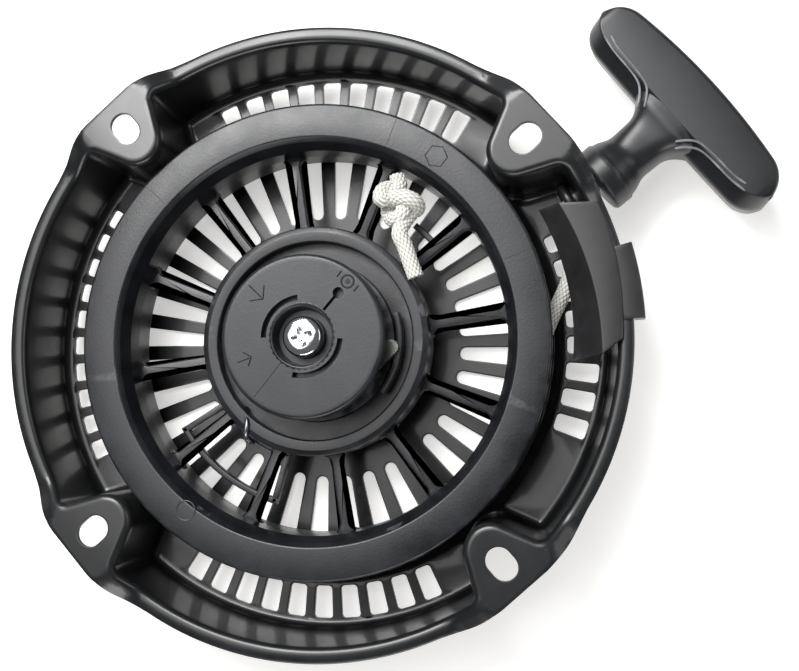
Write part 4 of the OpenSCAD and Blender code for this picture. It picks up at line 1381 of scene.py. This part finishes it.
def lead_route():
    """The rope's way off the reel, over to the eyelet's bead and round it."""
    bead, lead_a = rope_bend()
    leave = Vector(polar(WRAP_R, lead_a - 90, TURN_Z[0]))
    touch = bead + Vector(polar(ROPE_BEND_R, lead_a + 90, 0))
    run, climb = (touch - leave).xy.length, bead.z - TURN_Z[0]
    off_reel = [leave + Vector(polar(t * run, lead_a, t * climb)) for t in (0.2 / run, 0.25, 0.5, 0.75)]
    turn = PULL_A - lead_a
    bend = [bead + Vector(polar(ROPE_BEND_R, lead_a + 90 + turn * t, 0)) for t in (0, 0.4, 1)]
    return [off_reel[0] - Vector(polar(0.6, lead_a, 0)), *off_reel, *bend]


class RECOIL_OT_rope(bpy.types.Operator):
    """Lays the braided rope: turns in the groove, lead, knot, and the length that the handle draws out"""

    bl_idname = "recoil.rope"
    bl_label = "Lay Rope"

    def execute(self, context):
        sizes = context.scene.recoil_rope
        r = sizes.diameter / MM / 2
        # Turns in the groove; the last one ends where the lead leaves.
        bm = bmesh.new()
        leave_a = rope_bend()[1] - 90
        for k, z in enumerate(TURN_Z):
            sweep = LAST_TURN_SWEEP if k == 0 else FULL_TURN_SWEEP
            steps = int(math.radians(sweep) * WRAP_R / 0.7)
            line = np.array([polar(WRAP_R, leave_a - sweep + sweep * i / steps, z) for i in range(steps + 1)])
            braid(bm, line, r - 0.05, sizes.carriers, sides=24, relief=0.3)
        new_piece("rope_turns", bm, nylon(), "reel", ("rope_coils",), sharp=80)

        # Lead from the reel through the eyelet.
        bm = bmesh.new()
        route = [*lead_route(), pull_frame() @ Vector((10.8, 0, 0))]
        braid(bm, resampled(route, 0.45), r - 0.06, sizes.carriers, relief=0.36)
        new_piece("rope_lead_braid", bm, nylon(), "housing", ("rope_lead",), sharp=80)

        # Knot: an overhand pulled tight, one end down to the drum's hole, the other over the hub ring.
        bm = bmesh.new()
        centre = Vector(polar(49.8, 16.3, -10.6))
        turn = Matrix.Rotation(math.radians(-68), 4, "Z") @ Matrix.Rotation(math.radians(14), 4, "X")
        loop = []
        for k in range(25):
            a = math.radians(28 + 304 * k / 24)
            p = Vector((2.15 * (math.sin(a) + 2 * math.sin(2 * a)),
                        1.65 * (math.cos(a) - 2 * math.cos(2 * a)),
                        -2.42 * math.sin(3 * a)))
            loop.append(centre + turn @ p)
        tail = [Vector(polar(37.6, -11.2, -8.5)), Vector(polar(38.6, -5, -8.2)), Vector(polar(40.8, 3, -8.2)),
                Vector(polar(43.2, 9, -8.4))]
        ends = [Vector(polar(54.6, 19.5, -11.9)), Vector(polar(57.8, 21.8, -12.3))]
        if (loop[0] - tail[-1]).length > (loop[-1] - tail[-1]).length:
            loop.reverse()
        line = resampled(tail + loop + ends, 0.4)
        braid(bm, line, r, sizes.carriers, relief=0.4)
        new_piece("rope_knot_tied", bm, nylon(), "reel", ("rope_knot",), sharp=80)

        # Rope inside the handle.
        bm = bmesh.new()
        at = pull_frame()
        line = np.array([tuple(at @ Vector((u, 0, 0))) for u in np.arange(11.2, 39.0, 0.5)])
        braid(bm, line, r - 0.2, sizes.carriers, sides=24, relief=0.3)
        new_piece("rope_in_handle", bm, nylon(), "handle", ("rope_pull",), sharp=80)

        # Rope that is drawn out: it lies packed in the handle's bore and spreads evenly along the pull.
        bm = bmesh.new()
        uv = bm.loops.layers.uv.verify()
        travel = sizes.travel / MM
        count, sides = 700, 14
        lo_u, hi_u = 10.6, 34.5
        target = np.linspace(0, 1, count)
        t = 0.5 - np.sin(np.arcsin(1 - 2 * target) / 3)
        rows = []
        for s in t:
            u = lo_u + (hi_u - lo_u) * s
            rows.append([bm.verts.new(at @ Vector((u, *p))) for p in arc(0, 0, r - 0.35, 0, 360, sides)[:-1]])
        for i in range(count - 1):
            for k in range(sides):
                face = bm.faces.new((rows[i][k], rows[i][(k + 1) % sides], rows[i + 1][(k + 1) % sides],
                                     rows[i + 1][k]))
                for loop_, (a, b) in zip(face.loops, ((k, i), (k + 1, i), (k + 1, i + 1), (k, i + 1))):
                    loop_[uv].uv = (a / sides * sizes.carriers, target[b] * travel / BRAID_CELL)
        for row in (rows[0], rows[-1]):
            bm.faces.new(row)
        drawn = new_piece("rope_drawn_out", bm, nylon(), None, sharp=80)
        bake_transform(drawn)
        return {"FINISHED"}


# ---- handle ----


def stadium(count, half_w, half_h, power):
    """Superellipse ring in two axes."""
    out = []
    for k in range(count):
        a = 2 * math.pi * k / count
        c, s = math.cos(a), math.sin(a)
        out.append((half_w * math.copysign(abs(c) ** (2 / power), c),
                    half_h * math.copysign(abs(s) ** (2 / power), s)))
    return out


class RECOIL_OT_handle(bpy.types.Operator):
    """Moulds the T handle: crowned bar, flared stem, collar and ridge lines"""

    bl_idname = "recoil.handle"
    bl_label = "Build Handle"

    def execute(self, context):
        sizes = context.scene.recoil_handle
        half = sizes.bar_length / MM / 2
        stem = sizes.stem_radius / MM
        width = sizes.bar_width / MM
        u0, bar = 11.2, 36.2
        at = pull_frame()
        bm = bmesh.new()

        # Cross bar, lofted from one end to the other.
        def bar_edges(v):
            """Inner and outer edge of the bar's plan at v."""
            outer = bar + width + 3.5 * (1 - (v / half) ** 2)
            inner = bar + 0.4 * (v / half) ** 2
            end = max(0.0, abs(v) - (half - 8.5)) / 8.5
            tuck = 1 - math.sqrt(max(0.0, 1 - end ** 2))
            return inner + 7.2 * tuck, outer - 7.8 * tuck

        rings = []
        stations = [half * math.sin(math.radians(a)) for a in np.linspace(-90, 90, 61)]
        for v in stations:
            v = max(-half + 0.02, min(half - 0.02, v))
            inner, outer = bar_edges(v)
            end = max(0.0, abs(v) - (half - 3.2)) / 3.2
            drop = 2.4 * (1 - math.sqrt(max(0.0, 1 - end ** 2)))
            z1, z0 = 9.5 - drop, -8.9 + drop
            lean = 1.6
            section = eased([(inner + 4.4, z1, 1.2), (inner, z1 - 6.0, 4.0), (inner + lean, z0, 3.0),
                             (outer - lean * 0.7, z0, 3.0), (outer, z1 - 3.5, 4.0),
                             (outer - 0.6, z1, 1.6)], 6)
            rings.append([at @ Vector((u, v, z)) for u, z in section])
        loft(bm, rings)

        # Stem with its collar, flared where it runs into the bar.
        rings = []
        for u in (0, 0.25, 0.6, 1.2, 2.4, 4.2, 5.6, 6.3, 7.0, 8.2, 9.6, 11, 12.5, 14, 15.5, 17, 18.4, 19.6,
                  21, 22.2, 23.3, 24.2, 25, 26.2, 27.5, 29, 31):
            if u < 0.6:
                y = z = 9.7 + u * 1.1
            elif u < 5.7:
                y = z = 10.3 + 0.1 * u / 5.7
            elif u < 6.4:
                y = z = 9.9
            else:
                y = z = stem + (9.75 - stem) * float(1 - ease((u - 6.4) / 6.6))
            grow = float(np.clip((u - 18.6) / 7.4, 0, 1.1)) ** 2.2
            y += 4.4 * grow
            z += 1.62 * min(grow, 1)
            power = 2 + 1.6 * min(1, max(0, (u - 11) / 12))
            rings.append([at @ Vector((u0 + u, p, q)) for p, q in stadium(64, y, z, power)])
        loft(bm, rings)

        new_piece("t_handle", bm, grip_plastic(), "handle", ("handle_grip",), sharp=50)

        # Raised double line along the stem side of the top face, turning in at the stem.
        bm = bmesh.new()
        for s in (-1, 1):
            for off in (0.0, 1.5):
                route = [(bar + 5.2 + off, s * (half - 6.5 - off), 9.4 if off else 9.2),
                         (bar + 4.3 + off, s * 26, 9.42),
                         (bar + 4.0 + off, s * 18, 9.42), (bar + 3.2 + off, s * (13.6 - off), 9.42),
                         (bar + 1.0 + off, s * (10.6 - off), 9.1), (bar - 1.6 + off, s * (8.6 - off), 8.6)]
                wire(bm, [at @ Vector(p) for p in route], 0.36, step=0.8, sides=8)
        # The ridges' lighter grey finish is a painted highlight.
        new_piece("handle_ridges", bm, ridge_painted_highlight(), "handle", ())

        # Cover plate on the underside.
        bm = bmesh.new()
        plan = []
        for v in np.linspace(-half + 2.4, half - 2.4, 40):
            plan.append((bar_edges(v)[0] + 2.6, v))
        plan += [(bar_edges(v)[1] - 2.6, v) for v in np.linspace(half - 2.4, -half + 2.4, 40)]
        slab(bm, plan, -9.5, -7.7, 0.25, 0.5)
        bmesh.ops.transform(bm, matrix=at, verts=bm.verts)
        new_piece("handle_cover_plate", bm, grip_plastic(), "handle", ("handle_cover",))
        return {"FINISHED"}


# ---- stage ----


def look_at(obj, target):
    """Turns a lamp to a point."""
    obj.rotation_euler = (Vector(target) - obj.location).to_track_quat("-Z", "Y").to_euler()


class RECOIL_OT_stage(bpy.types.Operator):
    """Sets the pale floor, the soft lights and the camera"""

    bl_idname = "recoil.stage"
    bl_label = "Set Stage"

    def execute(self, context):
        scene = context.scene
        bm = bmesh.new()
        bmesh.ops.create_grid(bm, x_segments=1, y_segments=1, size=9000)
        bmesh.ops.translate(bm, vec=(0, 0, node_low("housing").z - 0.06), verts=bm.verts)
        m = bpy.data.materials.new("pale_floor")
        m.use_nodes = True
        shader = m.node_tree.nodes["Principled BSDF"]
        where = m.node_tree.nodes.new("ShaderNodeTexCoord").outputs["Object"]
        mask = noise(m.node_tree, where, 8.0, 3.0)
        pale = mixed(m.node_tree, mask, (0.8, 0.79, 0.77), (0.85, 0.845, 0.83))
        link(m.node_tree, pale, shader.inputs["Base Color"])
        link(m.node_tree, pale, shader.inputs["Emission Color"])
        shader.inputs["Emission Strength"].default_value = 0.6
        shader.inputs["Roughness"].default_value = 0.8
        shader.inputs["Specular IOR Level"].default_value = 0.1
        floor = new_piece("floor_sheet", bm, m, None, outwards=False)

        world = scene.world or bpy.data.worlds.new("studio")
        scene.world = world
        world.use_nodes = True
        back = world.node_tree.nodes["Background"]
        back.inputs["Color"].default_value = (0.95, 0.97, 1.0, 1)
        back.inputs["Strength"].default_value = 0.13
        # The room is dim for the reflections and pale to the eye.
        nodes = world.node_tree.nodes
        pale_room = nodes.new("ShaderNodeBackground")
        pale_room.inputs["Color"].default_value = (0.93, 0.94, 0.95, 1)
        eye_ray, either = nodes.new("ShaderNodeLightPath"), nodes.new("ShaderNodeMixShader")
        link(world.node_tree, eye_ray.outputs["Is Camera Ray"], either.inputs[0])
        link(world.node_tree, back.outputs[0], either.inputs[1])
        link(world.node_tree, pale_room.outputs[0], either.inputs[2])
        link(world.node_tree, either.outputs[0], nodes["World Output"].inputs["Surface"])
        scene.view_settings.view_transform = "Standard"
        for name, place, size, power in (
                ("key", (0.14, 0.5, 0.72), (0.5, 0.42), 8.5),
                ("broad", (0.0, 0.24, 0.74), (0.75, 0.5), 3.2),
                ("low", (0.6, -0.35, 0.5), (0.5, 0.25), 0.8),
                ("back", (-0.55, -0.75, 0.42), (0.8, 0.3), 4.0)):
            lamp = bpy.data.lights.new(name, "AREA")
            lamp.shape = "RECTANGLE"
            lamp.size, lamp.size_y = size
            lamp.energy = power
            obj = bpy.data.objects.new(name, lamp)
            obj.location = place
            scene.collection.objects.link(obj)
            look_at(obj, (0, 0, -0.015))

        camera = bpy.data.cameras.new("camera")
        camera.lens = 54.07
        camera.sensor_width = 36
        camera.clip_start = 0.01
        camera.dof.use_dof = False
        eye = bpy.data.objects.new("camera", camera)
        axes = Matrix(((0.74057383, -0.65251122, -0.16056001), (0.66886995, 0.73874341, 0.08289246),
                       (0.06452439, -0.16878176, 0.98353918)))
        eye.matrix_world = Matrix.Translation((0.0449357, -0.0794176, 0.352769)) @ axes.transposed().to_4x4()
        scene.collection.objects.link(eye)
        scene.camera = eye
        return {"FINISHED"}


# ---- panel and registration ----

OPERATORS = (RECOIL_OT_stage, RECOIL_OT_housing, RECOIL_OT_wall_fittings, RECOIL_OT_reel,
             RECOIL_OT_guide_disc, RECOIL_OT_set_screw, RECOIL_OT_small_parts, RECOIL_OT_rope,
             RECOIL_OT_handle)


class RECOIL_PT_panel(bpy.types.Panel):
    """Lists the pieces of the recoil starter"""

    bl_idname = "RECOIL_PT_panel"
    bl_label = "Recoil Starter"
    bl_space_type = "VIEW_3D"
    bl_region_type = "UI"
    bl_category = "Recoil Starter"

    def draw(self, context):
        for group in GROUPS:
            column = self.layout.column(align=True)
            values = getattr(context.scene, group)
            for key in values.__annotations__:
                column.prop(values, key)
        column = self.layout.column(align=True)
        for op in OPERATORS:
            column.operator(op.bl_idname)


GROUPS = {"recoil_housing": HousingSizes, "recoil_reel": ReelSizes, "recoil_rope": RopeSizes,
          "recoil_handle": HandleSizes, "recoil_finish": FinishColours}


def register():
    """Registers the classes and hangs the values on the scene."""
    for cls in (*GROUPS.values(), *OPERATORS, RECOIL_PT_panel):
        bpy.utils.register_class(cls)
    for name, cls in GROUPS.items():
        setattr(bpy.types.Scene, name, PointerProperty(type=cls))


def unregister():
    """Takes the values and the classes away again."""
    for name in GROUPS:
        delattr(bpy.types.Scene, name)
    for cls in reversed((*GROUPS.values(), *OPERATORS, RECOIL_PT_panel)):
        bpy.utils.unregister_class(cls)


def main():
    """Builds everything in order."""
    register()
    for op in OPERATORS:
        call = getattr(bpy.ops.recoil, op.bl_idname.split(".")[1])
        if "FINISHED" not in call():
            raise RuntimeError(f"{op.bl_label} did not finish")


if __name__ == "__main__":
    main()
